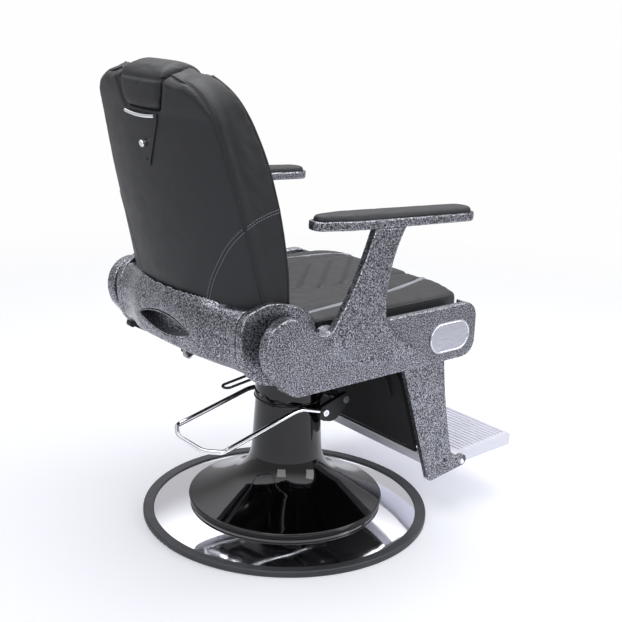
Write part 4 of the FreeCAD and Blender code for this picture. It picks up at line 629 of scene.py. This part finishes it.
def stitches(name, run, skin, length, radius, material, body):
    """Stitches along a run of points as one mesh, a quarter sunk into a skin."""
    form = bmesh.new()
    spots = even_points(run, length * 1.15)
    for a, b in zip(spots, spots[1:]):
        place, normal, _, _ = skin.find_nearest(a.lerp(b, 0.35))
        if place is None:
            continue
        way = (b - a).normalized()
        side = normal.cross(way).normalized()
        way = side.cross(normal).normalized()
        turn = Matrix((way, side, normal)).transposed().to_4x4()
        spot = Matrix.Translation(place + normal * radius * 0.75) @ turn
        size = Matrix.Diagonal((length / 2, radius * 1.25, radius, 1))
        bmesh.ops.create_icosphere(form, subdivisions=2, radius=1, matrix=spot @ size)
    mesh = bpy.data.meshes.new(name)
    form.to_mesh(mesh)
    form.free()
    return new_piece(name, mesh, material, body)


# The backrest's side by height, and the radius of its shoulder (mm, leaning frame).
SIDE_HEIGHTS = (15, 196, 320, 444)
SIDE_HALVES = (255, 250, 242.5, 226)
SHOULDER = 97


def back_edge(down):
    """One half of the backrest's outline in the leaning frame, from a height in mm: up the
    side, round the shoulder and in to the headrest's notch."""
    line = [(float(np.interp(z, SIDE_HEIGHTS, SIDE_HALVES)), z)
            for z in np.arange(down, SIDE_HEIGHTS[-1], 12.0)]
    for turn in range(0, 91, 6):
        angle = math.radians(turn)
        line.append((SIDE_HALVES[-1] - SHOULDER + SHOULDER * math.cos(angle),
                     SIDE_HEIGHTS[-1] + SHOULDER * math.sin(angle)))
    line.append((98.0, 553.0))
    return [(x * MM, 0.0, z * MM) for x, z in line]


def leaned(points, flip=False):
    return [LEANING @ Vector((-x if flip else x, y, z)) for x, y, z in points]


class CHAIR_OT_materials(bpy.types.Operator):
    """Make every finish of the chair and paint the CAD nodes"""
    bl_idname = "chair.materials"
    bl_label = "Finishes"

    def execute(self, context):
        colours = context.scene.chair_colours
        materials.update({
            "hammered": hammered_enamel(colours),
            "vinyl": vinyl("pebbled_black_vinyl", colours),
            "seat_vinyl": vinyl("seat_vinyl_with_inserts", colours, strip_line(False)),
            "back_vinyl": vinyl("back_vinyl_with_inserts", colours, strip_line(True)),
            "enamel": gloss_enamel(colours),
            "chrome": chrome(),
            "rubber": moulded_rubber(colours),
            "steel": satin_metal("ground_steel", "#8b8c90", "#b9babd", 0.32),
            "bronze": satin_metal("sintered_bronze", "#8a6a35", "#b08c4e", 0.4),
            "iron": powder_coat("painted_cast_iron", "#0e0f10", "#1b1c1e", 0.38),
            "coat": powder_coat(),
            "nylon": powder_coat("moulded_nylon", "#0f1011", "#18191a", 0.5),
            "lining": lining_cloth(),
            "thread": sewing_thread(colours),
            "plywood": satin_metal("birch_plywood", "#a98455", "#c7a678", 0.6,
                                   (1, 18, 18), 0.0, 30.0),
            "foot": satin_metal("anodised_aluminium_extrusion", "#d4d5e0", "#ececf5", 0.36,
                                (0.05, 1, 1), 0.3, 700.0),
            "plate": satin_metal("satin_aluminium_plate", "#b4b5bd", "#cdced8", 0.3,
                                 (1, 0.06, 1), 0.9, 600.0),
            "bar": satin_metal("mill_aluminium_bar", "#d0d1da", "#ecedf5", 0.34,
                               (0.05, 1, 1), 0.2, 500.0),
        })
        paint(["side_housing_right", "side_housing_left", "recline_disc_right",
               "recline_disc_left", "back_shroud", "grip_cup", "armrest_tray_right",
               "armrest_tray_left", "leg_plate_right", "leg_plate_left"],
              materials["hammered"])
        paint(["bell_cover", "head_cover"], materials["enamel"])
        paint(["base_cover", "lever_rod", "lever_ferrules", "release_button", "guide_trim"],
              materials["chrome"])
        paint(["rim_ring"], materials["rubber"])
        paint(["pump_cylinder", "piston_rod", "cylinder_bolts", "pump_plunger", "lever_axle",
               "mount_bolts", "strut_rod", "headrest_stem", "pivot_pins", "frame_pins",
               "foot_pins", "legrest_axle"], materials["steel"])
        paint(["bearing_ring", "head_bush"], materials["bronze"])
        paint(["base_plate", "head_housing", "lever_arm_right", "lever_arm_left",
               "seat_mount"], materials["iron"])
        paint(["seat_frame", "strut_barrel", "back_frame", "legrest_link", "recline_lever",
               "calf_hangers", "guide_cover"], materials["coat"])
        paint(["pivot_washers", "headrest_guide"], materials["nylon"])
        paint(["seat_board", "calf_board"], materials["lining"])
        paint(["back_board"], materials["plywood"])
        paint(["foot_plate"], materials["foot"])
        paint(["cross_bar"], materials["bar"])
        paint(["badge_plate"], materials["plate"])
        return {"FINISHED"}


def side_seams(y):
    """Distances from the middle of the seat's lengthwise seams at y (mm)."""
    found = []
    for base, start in ((92, 12), (129, 62), (164, 96), (190, 118)):
        found.append(base - 0.5 * np.clip(y - start, 0, None))
    return found


def seat_strip_at(y):
    start, end = SEAT_STRIP_Y
    return np.interp((y - start) / (end - start), *zip(*SEAT_STRIP))


def strip_flanks(off, half):
    """The sewn channels at both edges of a light insert, off its middle."""
    return 0.8 * (ridge(off - half, STRIP_FLANK) + ridge(off + half, STRIP_FLANK))


def slanting(across):
    """Seams at 45 degrees, by the sum or difference of two coordinates (mm)."""
    off = (across + QUILT_PITCH / 2) % QUILT_PITCH - QUILT_PITCH / 2
    return 0.85 * ridge(off / math.sqrt(2), CHANNEL)


def seat_relief(points):
    """The sewn relief of the seat's top: channels at the sides, slanting seams between."""
    x, y, z = points.T / MM
    side = np.abs(x)
    upper = np.clip((z - 560) / 8, 0, 1)
    depth = np.zeros(len(points))
    strip = seat_strip_at(y)
    half = np.interp(y, SEAT_STRIP_Y, STRIP_HALF)
    seams = side_seams(y)
    for line in seams:
        live = (line < strip - half - 6) & (y < 160)
        depth -= np.where(live, ridge(side - line, CHANNEL), 0)
    depth -= strip_flanks(side - strip, half)
    depth += np.where(np.abs(side - strip) < half, 0.15, 0)
    depth -= np.where(side < seams[0] - 2, slanting(x + y + 37), 0)
    crease = ridge(side - seams[0], 9.0) * 0.3
    return (depth - crease) * upper * bpy.context.scene.chair_sizes.seam


class CHAIR_OT_seat(bpy.types.Operator):
    """Seat cushion: padded, with sewn channels, slanting seams and two light inserts"""
    bl_idname = "chair.seat"
    bl_label = "Seat cushion"

    def execute(self, context):
        sizes = context.scene.chair_sizes

        def hold(points):
            return np.clip((points[:, 2] - 0.497) / 0.02, 0, 1)

        piece = grown_pad(["seat_cushion"], "seat_upholstery", sizes.voxel, sizes.swell, hold)
        press(piece, seat_relief)

        def rounder(x, y, z):
            corner = ease((np.abs(x) - 170) / 90) * ease((-y - 235) / 105)
            return x - np.sign(x) * 11 * corner, y + 9 * corner, z - 4 * corner

        reshape(piece, rounder)
        finish_pad(piece, materials["seat_vinyl"], "seat", "seat_cushion")
        skin = surface_of(piece)
        for flip in (-1, 1):
            run = [(flip * x * MM, y * MM, 0.572) for x, y in (
                (246, 176), (250, 140), (259, 110), (261, 0), (261, -200), (258, -290),
                (246, -322), (200, -334), (100, -338), (0, -339))]
            placed = laid_on(skin, even_points(run, 0.015), 0.0004)
            tube(f"seat_welt_{'right' if flip < 0 else 'left'}", placed, 0.0024,
                 materials["vinyl"], "seat")
        return {"FINISHED"}


# How far the middle of the backrest's front edge lies before its rear seam (mm).
FRONT_REACH = 95


def back_front(z):
    """How far the cushion's front edge lies before the rear seam at height z (mm)."""
    return FRONT_REACH * np.interp(
        z / 553,
        [0, 0.027, 0.108, 0.217, 0.362, 0.582, 0.694, 0.807, 0.9, 0.976, 1.058],
        [0.5, 0.55, 0.68, 0.81, 0.9, 1.0, 0.99, 0.93, 0.82, 0.66, 0.45])


def back_relief(points):
    """The sewn relief of the cushion's front, like the seat's."""
    x, y, z = in_frame(LEANING, points).T / MM
    side = np.abs(x)
    front = np.clip((-y - 0.75 * back_front(z)) / 8, 0, 1)
    depth = np.zeros(len(points))
    low, high = BACK_STRIP_Z
    share = (points[:, 2] / MM - low) / (high - low)
    strip = np.interp(share, *zip(*BACK_STRIP))
    half = np.interp(share, (0, 1), STRIP_HALF)
    lines = [base - 0.06 * (z - 60) for base in (84, 116, 146)]
    for line in lines:
        live = (line < strip - half - 6) & (z < 470)
        depth -= np.where(live, ridge(side - line, CHANNEL), 0)
    depth -= strip_flanks(side - strip, half)
    middle = (side < lines[0] - 2) & (z < 470)
    for across in (x + z, x - z):
        depth -= np.where(middle, slanting(across), 0)
    return depth * front * bpy.context.scene.chair_sizes.seam


def from_rear_seam(x, y, z):
    """Distance to the seam between the rear panel and the side band (mm)."""
    seam = np.array(even_points(back_edge(40), 0.003)) / MM
    found = np.full(len(x), 99.0)
    near = np.flatnonzero((y > -20) & (z > 30))
    for part in np.array_split(near, 20):
        gaps = np.hypot(np.abs(x[part, None]) - seam[:, 0], z[part, None] - seam[:, 2])
        found[part] = gaps.min(axis=1)
    return found


def back_outline(x, y, z):
    """Draw the padded backrest in to the photographed outline: a flatter front whose top
    edge drops forward, and a narrower notch for the headrest."""
    drop = 16 * np.clip(-y / FRONT_REACH, 0, None) * ease((z - 380) / 120)
    notch = np.interp(z, [440, 478, 549], [0, 4 / 70, 7 / 97])
    x = x * (1 - notch * (1 - ease((np.abs(x) - 100) / 60)))
    y = np.where(y < 0, y * (0.98 - 0.11 * ease((z - 150) / 350)), y)
    crest = 3 * ease((z - 500) / 50) * (1 - ease((np.abs(x) - 95) / 70))
    return x, y, z - drop - crest


def back_form(x, y, z):
    """The outline, a fuller top edge on the rear panel and a groove along its seam."""
    away = from_rear_seam(x, y, z)
    fuller = np.interp(z, [470, 493, 523, 545, 553], [0, 3, 6, 12, 15])
    full_y = y + fuller * ease((y + 2) / 6) * ease(away / 14)
    return back_outline(x, full_y, z)


def rear_groove(points):
    x, y, z = in_frame(LEANING, points).T / MM
    return -0.003 * ridge(np.hypot(from_rear_seam(x, y, z), y), 4.0)


class CHAIR_OT_backrest(bpy.types.Operator):
    """Backrest cushion: padded front with inserts and welts in its seams"""
    bl_idname = "chair.backrest"
    bl_label = "Backrest cushion"

    def execute(self, context):
        sizes = context.scene.chair_sizes

        def hold(points):
            local = in_frame(LEANING, points)
            return np.clip((-local[:, 1] - 0.012) / 0.02, 0, 1)

        # two more copies of the panel, further in, close the thin places of its rim
        inward = LEANING.to_3x3() @ Vector((0, -0.004, 0))
        piece = grown_pad(["backrest_cushion", "back_panel", "back_board",
                           ("back_panel", inward), ("back_panel", inward * 2)],
                          "backrest_upholstery", sizes.voxel, sizes.swell, hold)
        press(piece, back_relief)
        press(piece, rear_groove)
        reshape(piece, back_form, LEANING)
        finish_pad(piece, materials["back_vinyl"], "backrest", "backrest_cushion",
                   "back_panel")
        skin = surface_of(piece)
        for flip in (True, False):
            side = "right" if flip else "left"
            rear = laid_on(skin, leaned(back_edge(78), flip))
            tube(f"rear_welt_{side}", rear, sizes.piping, materials["vinyl"], "backrest")
            front = []
            for x, _, z in back_edge(40):
                deep = float(back_front(z / MM))
                grow, lift = 13 * deep / FRONT_REACH, 26 * deep / FRONT_REACH
                share = np.clip((z - 0.40) / 0.12, 0, 1)
                spot = back_outline(x / MM + grow, -deep, z / MM + lift * share)
                front.append([float(part) * MM for part in spot])
            # the welt ends short of the notch
            placed = laid_on(skin, leaned(front[:-4], flip))
            tube(f"front_welt_{side}", placed, 0.0024, materials["vinyl"], "backrest")
        return {"FINISHED"}


class CHAIR_OT_rear_seams(bpy.types.Operator):
    """The curved twin-needle seam over the rear panel and the side band"""
    bl_idname = "chair.rear_seams"
    bl_label = "Rear seams"

    def execute(self, context):
        sizes = context.scene.chair_sizes
        skin = surface_of(bpy.data.objects["backrest_upholstery"])
        for flip in (-1, 1):
            side = "right" if flip < 0 else "left"
            panel_run = smooth_run([(flip * x * MM, y * MM, z * MM) for x, y, z in (
                (134, 326, 618), (140, 327, 640), (154, 327, 674), (172, 326, 702),
                (193, 325, 735), (211, 323, 757), (230, 319, 777), (246, 314, 791))])
            band_run = smooth_run([(flip * x * MM, y * MM, z * MM) for x, y, z in (
                (249, 310, 794), (251, 292, 805), (254, 267, 815), (257, 242, 822),
                (259, 212, 829))])
            for number, shift in enumerate((-0.003, 0.003)):
                run = [p + Vector((-flip * shift, 0, shift)) for p in panel_run]
                stitches(f"panel_stitches_{side}_{number}", run, skin, sizes.stitch,
                         0.0009, materials["thread"], "backrest")
                run = [p + Vector((0, 0, shift)) for p in band_run]
                stitches(f"band_stitches_{side}_{number}", run, skin, sizes.stitch,
                         0.0009, materials["thread"], "backrest")
        return {"FINISHED"}


class CHAIR_OT_headrest(bpy.types.Operator):
    """Headrest pad with a seam across its top edge"""
    bl_idname = "chair.headrest"
    bl_label = "Headrest pad"

    def execute(self, context):
        def hold(points):
            local = in_frame(LEANING, points)
            return np.clip((local[:, 2] - 0.5) / 0.04, 0, 1)

        def outline(x, y, z):
            """Narrower upward, with a rear face that leans in and a front that drops."""
            rear = np.interp(z, [484, 540, 548], [8, 0, -3]) * np.clip((y + 10) / 30, 0, 1)
            drop = 30 * np.clip((-30 - y) / 70, 0, 1) ** 2 * ease((z - 500) / 50)
            return x * np.interp(z, [484, 548], [0.92, 0.88]), y + rear, z - drop - 4

        def top_seam(points):
            local = in_frame(LEANING, points) / MM
            return -0.0025 * ridge(local[:, 2] - 545, 3.0) * (local[:, 1] > 5)

        piece = grown_pad(["headrest_pad"], "headrest_upholstery", 0.0045, 0.0015, hold)
        press(piece, top_seam)
        reshape(piece, outline, LEANING)
        finish_pad(piece, materials["vinyl"], "headrest", "headrest_pad")
        return {"FINISHED"}


class CHAIR_OT_armrest_pads(bpy.types.Operator):
    """Vinyl pads let into the armrest trays"""
    bl_idname = "chair.armrest_pads"
    bl_label = "Armrest pads"

    def execute(self, context):
        def hold(points):
            return np.clip((points[:, 2] - 0.79) / 0.01, 0, 1)

        for side in ("right", "left"):
            piece = grown_pad([f"armrest_pad_{side}"], f"armrest_upholstery_{side}", 0.0035,
                              0.0015, hold, soften=4)
            reshape(piece, lambda x, y, z: (x, y, z + 7))
            finish_pad(piece, materials["vinyl"], "seat", f"armrest_pad_{side}")
        return {"FINISHED"}


class CHAIR_OT_calf_pad(bpy.types.Operator):
    """Calf pad, with its lining stapled along the board's edges"""
    bl_idname = "chair.calf_pad"
    bl_label = "Calf pad"

    def execute(self, context):
        def hold(points):
            local = in_frame(LEG, points)
            return np.clip((-local[:, 1] - 0.004) / 0.01, 0, 1)

        piece = grown_pad(["calf_pad"], "calf_upholstery", 0.0055, 0.003, hold)

        def channels(points):
            x, y, _ = in_frame(LEG, points).T / MM
            front = np.clip((-y - 12) / 8, 0, 1)
            depth = np.zeros(len(points))
            for line in (-150, -90, -30, 30, 90, 150):
                depth -= ridge(x - line, 4.5)
            return depth * front * 0.003

        press(piece, channels)
        finish_pad(piece, materials["vinyl"], "legrest", "calf_pad")
        board = surface_of(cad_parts["calf_board"])
        rear = 0.0095
        for name, z in (("low", 0.026), ("high", 0.232)):
            run = [LEG @ Vector((x, rear, z)) for x in (-0.205, 0.205)]
            stitches(f"calf_staples_{name}", run, board, 0.009, 0.0006, materials["steel"],
                     "legrest")
        return {"FINISHED"}


class CHAIR_OT_badge(bpy.types.Operator):
    """Bare oval plate: a raised lip round a satin field"""
    bl_idname = "chair.badge"
    bl_label = "Oval plate"

    def execute(self, context):
        low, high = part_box("badge_plate")
        middle = (low + high) / 2
        half_y, half_z = (high.y - low.y) / 2, (high.z - low.z) / 2
        points = []
        for step in range(0, 361, 6):
            angle = math.radians(step)
            flat = half_y - half_z
            y = middle.y + (half_z - 0.003) * math.cos(angle) + math.copysign(
                flat, math.cos(angle)) * min(1, abs(math.cos(angle)) * 8)
            z = middle.z + (half_z - 0.003) * math.sin(angle)
            points.append((low.x - 0.0002, y, z))
        tube("badge_lip", points, 0.0014, materials["chrome"], "seat", 2)
        return {"FINISHED"}


# Radius of the discs by angle about the pivot, from the rear (0) up (90), in mm.
DISC_ANGLES = (-180, -100, -72, -56, -33, -17, 3, 12, 23, 35, 46, 63, 83, 98, 111, 126, 150,
               180)
DISC_RADII = (95, 95, 95, 90, 82, 76, 76, 78.5, 81.7, 84.8, 84.6, 82.5, 84, 82.5, 82, 86, 97,
              97)


def shroud_form(x, y, z):
    """Draw the shroud's ends and the discs in: less than round, and bowed at the rear."""
    side, y, z = np.abs(x), y - PIVOT.y / MM, z - PIVOT.z / MM
    radius = np.interp(np.degrees(np.arctan2(z, y)), DISC_ANGLES, DISC_RADII)
    scale = 1 + ease((side - 110) / 140) * (radius / 95 - 1)
    y, z = y * scale, z * scale
    side = side - 31 * ease((y + 48) / 125) * ease((side - 60) / 200)
    return np.sign(x) * side, y + PIVOT.y / MM, z + PIVOT.z / MM


class CHAIR_OT_castings(bpy.types.Operator):
    """Castings and mouldings under thick enamel, with eased edges"""
    bl_idname = "chair.castings"
    bl_label = "Castings"

    def execute(self, context):
        def enamelled(node, voxel, passes, body, change):
            piece = gridded(f"{node}_enamelled", [node], voxel, passes)
            reshape(piece, change)
            piece.data.materials.clear()
            piece.data.materials.append(materials["hammered"])
            piece.data.shade_smooth()
            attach(piece, body)
            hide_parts(node)

        for side in ("right", "left"):
            enamelled(f"side_housing_{side}", 0.003, 8, "seat",
                      lambda x, y, z: (x, y, z + 6 * np.clip((z - 620) / 151, 0, 1)))
            enamelled(f"armrest_tray_{side}", 0.0025, 5, "seat",
                      lambda x, y, z: (x, y, z + 6))
            enamelled(f"recline_disc_{side}", 0.003, 4, "backrest",
                      shroud_form)
        enamelled("back_shroud", 0.003, 4, "backrest", shroud_form)
        return {"FINISHED"}


class CHAIR_OT_leg_bolts(bpy.types.Operator):
    """Chrome domes of the footrest's bolts, and above each a flat disc of the black lining
    material: painted shade standing for the dark inside a small blind hole
    """
    bl_idname = "chair.leg_bolts"
    bl_label = "Leg bolts"

    def execute(self, context):
        for side, x in (("right", -0.2625), ("left", 0.2625)):
            # The second piece is painted shade: a flat black disc of the lining material on the
            # leg plate, not a hole, stands for the shade inside a small blind hole.
            for name, y, z, size, material in (
                    ("leg_bolt", -0.349, 0.132, (0.004, 0.0065, 0.0065), "chrome"),
                    ("painted_hole_shade", -0.287, 0.149, (0.0006, 0.0028, 0.0028), "lining")):
                form = bmesh.new()
                bmesh.ops.create_icosphere(
                    form, subdivisions=3, radius=1,
                    matrix=Matrix.Translation((x, y, z)) @ Matrix.Diagonal((*size, 1)))
                mesh = bpy.data.meshes.new(f"{name}_{side}")
                form.to_mesh(mesh)
                form.free()
                new_piece(f"{name}_{side}", mesh, materials[material], "legrest")
        return {"FINISHED"}


class CHAIR_OT_stage(bpy.types.Operator):
    """Pale floor, soft lamps and the camera at the photographed angle"""
    bl_idname = "chair.stage"
    bl_label = "Stage"

    def execute(self, context):
        settings = context.scene.chair_stage
        colours = context.scene.chair_colours
        form = bmesh.new()
        bmesh.ops.create_grid(form, x_segments=1, y_segments=1, size=12)
        mesh = bpy.data.meshes.new("floor")
        form.to_mesh(mesh)
        form.free()
        floor = bpy.data.objects.new("floor", mesh)
        context.scene.collection.objects.link(floor)
        material = bpy.data.materials.new("studio_floor")
        material.use_nodes = True
        tree = material.node_tree
        tree.nodes.clear()
        rays = add(tree, "ShaderNodeLightPath")
        seen = add(tree, "ShaderNodeMath", {
            0: rays.outputs["Is Camera Ray"], 1: rays.outputs["Is Glossy Ray"]},
            operation="MAXIMUM")
        seen = add(tree, "ShaderNodeMath", {
            0: seen.outputs[0], 1: rays.outputs["Is Transmission Ray"]},
            operation="MAXIMUM")
        white = linear(colours.floor)
        lit = add(tree, "ShaderNodeBsdfDiffuse", {"Color": white})
        veil = add(tree, "ShaderNodeBsdfDiffuse", {"Color": [c * 0.9 for c in white[:3]]
                                                   + [1]})
        glow = add(tree, "ShaderNodeEmission", {"Color": white, "Strength": 0.27})
        both = add(tree, "ShaderNodeAddShader", {
            0: veil.outputs[0], 1: glow.outputs[0]})
        mixed = add(tree, "ShaderNodeMixShader", {
            "Fac": seen.outputs[0], 1: lit.outputs[0], 2: both.outputs[0]})
        # the floor fades into the white room from 1 m out, so no horizon shows
        place = add(tree, "ShaderNodeTexCoord").outputs["Object"]
        far = add(tree, "ShaderNodeVectorMath", {0: place}, operation="LENGTH")
        fade = add(tree, "ShaderNodeMapRange", {
            "Value": far.outputs["Value"], "From Min": 1.0, "From Max": 3.4},
            interpolation_type="SMOOTHSTEP")
        clear = add(tree, "ShaderNodeBsdfTransparent")
        mixed = add(tree, "ShaderNodeMixShader", {
            "Fac": fade.outputs["Result"], 1: mixed.outputs[0], 2: clear.outputs[0]})
        output = add(tree, "ShaderNodeOutputMaterial")
        tree.links.new(mixed.outputs[0], output.inputs["Surface"])
        mesh.materials.append(material)

        world = bpy.data.worlds.new("studio")
        context.scene.world = world
        world.use_nodes = True
        tree = world.node_tree
        tree.nodes.clear()
        rays = add(tree, "ShaderNodeLightPath")
        way = add(tree, "ShaderNodeTexCoord").outputs["Generated"]
        parts = add(tree, "ShaderNodeSeparateXYZ", {"Vector": way})
        # a plain cyclorama with bright cloth overhead
        level = add(tree, "ShaderNodeMapRange", {
            "Value": parts.outputs["Z"], "From Min": 0.35, "From Max": 0.85,
            "To Min": 0.55, "To Max": 2.3}, interpolation_type="SMOOTHSTEP")
        fill = add(tree, "ShaderNodeBackground", {
            "Color": linear("#f4f5fa"), "Strength": 0.55})
        room = add(tree, "ShaderNodeBackground", {
            "Color": linear("#fbfbff"), "Strength": level.outputs["Result"]})
        white_back = add(tree, "ShaderNodeBackground", {
            "Color": linear("#fefefe"), "Strength": 1.0})
        glossy = add(tree, "ShaderNodeMixShader", {
            "Fac": rays.outputs["Is Glossy Ray"], 1: fill.outputs[0], 2: room.outputs[0]})
        clear = add(tree, "ShaderNodeMath", {
            0: rays.outputs["Is Camera Ray"], 1: rays.outputs["Is Transmission Ray"]},
            operation="MAXIMUM")
        final = add(tree, "ShaderNodeMixShader", {
            "Fac": clear.outputs[0], 1: glossy.outputs[0], 2: white_back.outputs[0]})
        output = add(tree, "ShaderNodeOutputWorld")
        tree.links.new(final.outputs[0], output.inputs["Surface"])

        for name, spot, size, watts in (
                ("overhead", (0.2, -0.4, 3.2), 3.0, 55),
                ("left", (-2.6, 3.2, 2.3), 1.8, 38),
                ("right", (-3.2, -2.4, 2.2), 1.8, 42)):
            data = bpy.data.lights.new(name, "AREA")
            data.shape = "RECTANGLE"
            data.size = data.size_y = size
            data.energy = watts * settings.lamp
            lamp = bpy.data.objects.new(name, data)
            context.scene.collection.objects.link(lamp)
            lamp.location = spot
            aim = Vector((0, 0, 0.5)) - Vector(spot)
            lamp.rotation_euler = aim.to_track_quat("-Z", "Y").to_euler()

        data = bpy.data.cameras.new("camera")
        data.sensor_width = 36
        data.lens = settings.lens
        data.clip_start, data.clip_end = 0.05, 60
        camera = bpy.data.objects.new("camera", data)
        context.scene.collection.objects.link(camera)
        azimuth, elevation, roll = (math.radians(a) for a in (230.68, 16.53, 1.96))
        back = Vector((math.sin(azimuth) * math.cos(elevation),
                       -math.cos(azimuth) * math.cos(elevation), math.sin(elevation)))
        right = Vector((math.cos(azimuth), math.sin(azimuth), 0))
        up = back.cross(right)
        across = right * math.cos(roll) + up * math.sin(roll)
        above = up * math.cos(roll) - right * math.sin(roll)
        turn = Matrix((across, above, back)).transposed().to_4x4()
        camera.matrix_world = Matrix.Translation((-2.0373, 1.6054, 1.2830)) @ turn
        context.scene.camera = camera
        context.scene.view_settings.view_transform = "Standard"
        return {"FINISHED"}


class CHAIR_PT_pieces(bpy.types.Panel):
    bl_label = "Barber chair"
    bl_idname = "CHAIR_PT_pieces"
    bl_space_type = "VIEW_3D"
    bl_region_type = "UI"
    bl_category = "Barber chair"

    def draw(self, context):
        scene = context.scene
        for group in (scene.chair_colours, scene.chair_sizes, scene.chair_stage):
            box = self.layout.box()
            for name in group.__annotations__:
                box.prop(group, name)
        for operator in OPERATORS:
            self.layout.operator(operator.bl_idname)


OPERATORS = (CHAIR_OT_stage, CHAIR_OT_materials, CHAIR_OT_seat, CHAIR_OT_backrest,
             CHAIR_OT_rear_seams, CHAIR_OT_headrest, CHAIR_OT_armrest_pads,
             CHAIR_OT_calf_pad, CHAIR_OT_castings, CHAIR_OT_badge, CHAIR_OT_leg_bolts)
GROUPS = (ChairColours, ChairSizes, StageSettings)


def register():
    for item in (*GROUPS, *OPERATORS, CHAIR_PT_pieces):
        bpy.utils.register_class(item)
    bpy.types.Scene.chair_colours = bpy.props.PointerProperty(type=ChairColours)
    bpy.types.Scene.chair_sizes = bpy.props.PointerProperty(type=ChairSizes)
    bpy.types.Scene.chair_stage = bpy.props.PointerProperty(type=StageSettings)


def unregister():
    for name in ("chair_colours", "chair_sizes", "chair_stage"):
        delattr(bpy.types.Scene, name)
    for item in reversed((*GROUPS, *OPERATORS, CHAIR_PT_pieces)):
        bpy.utils.unregister_class(item)


def main():
    register()
    for operator in OPERATORS:
        family, name = operator.bl_idname.split(".")
        getattr(getattr(bpy.ops, family), name)()


if __name__ == "__main__":
    main()
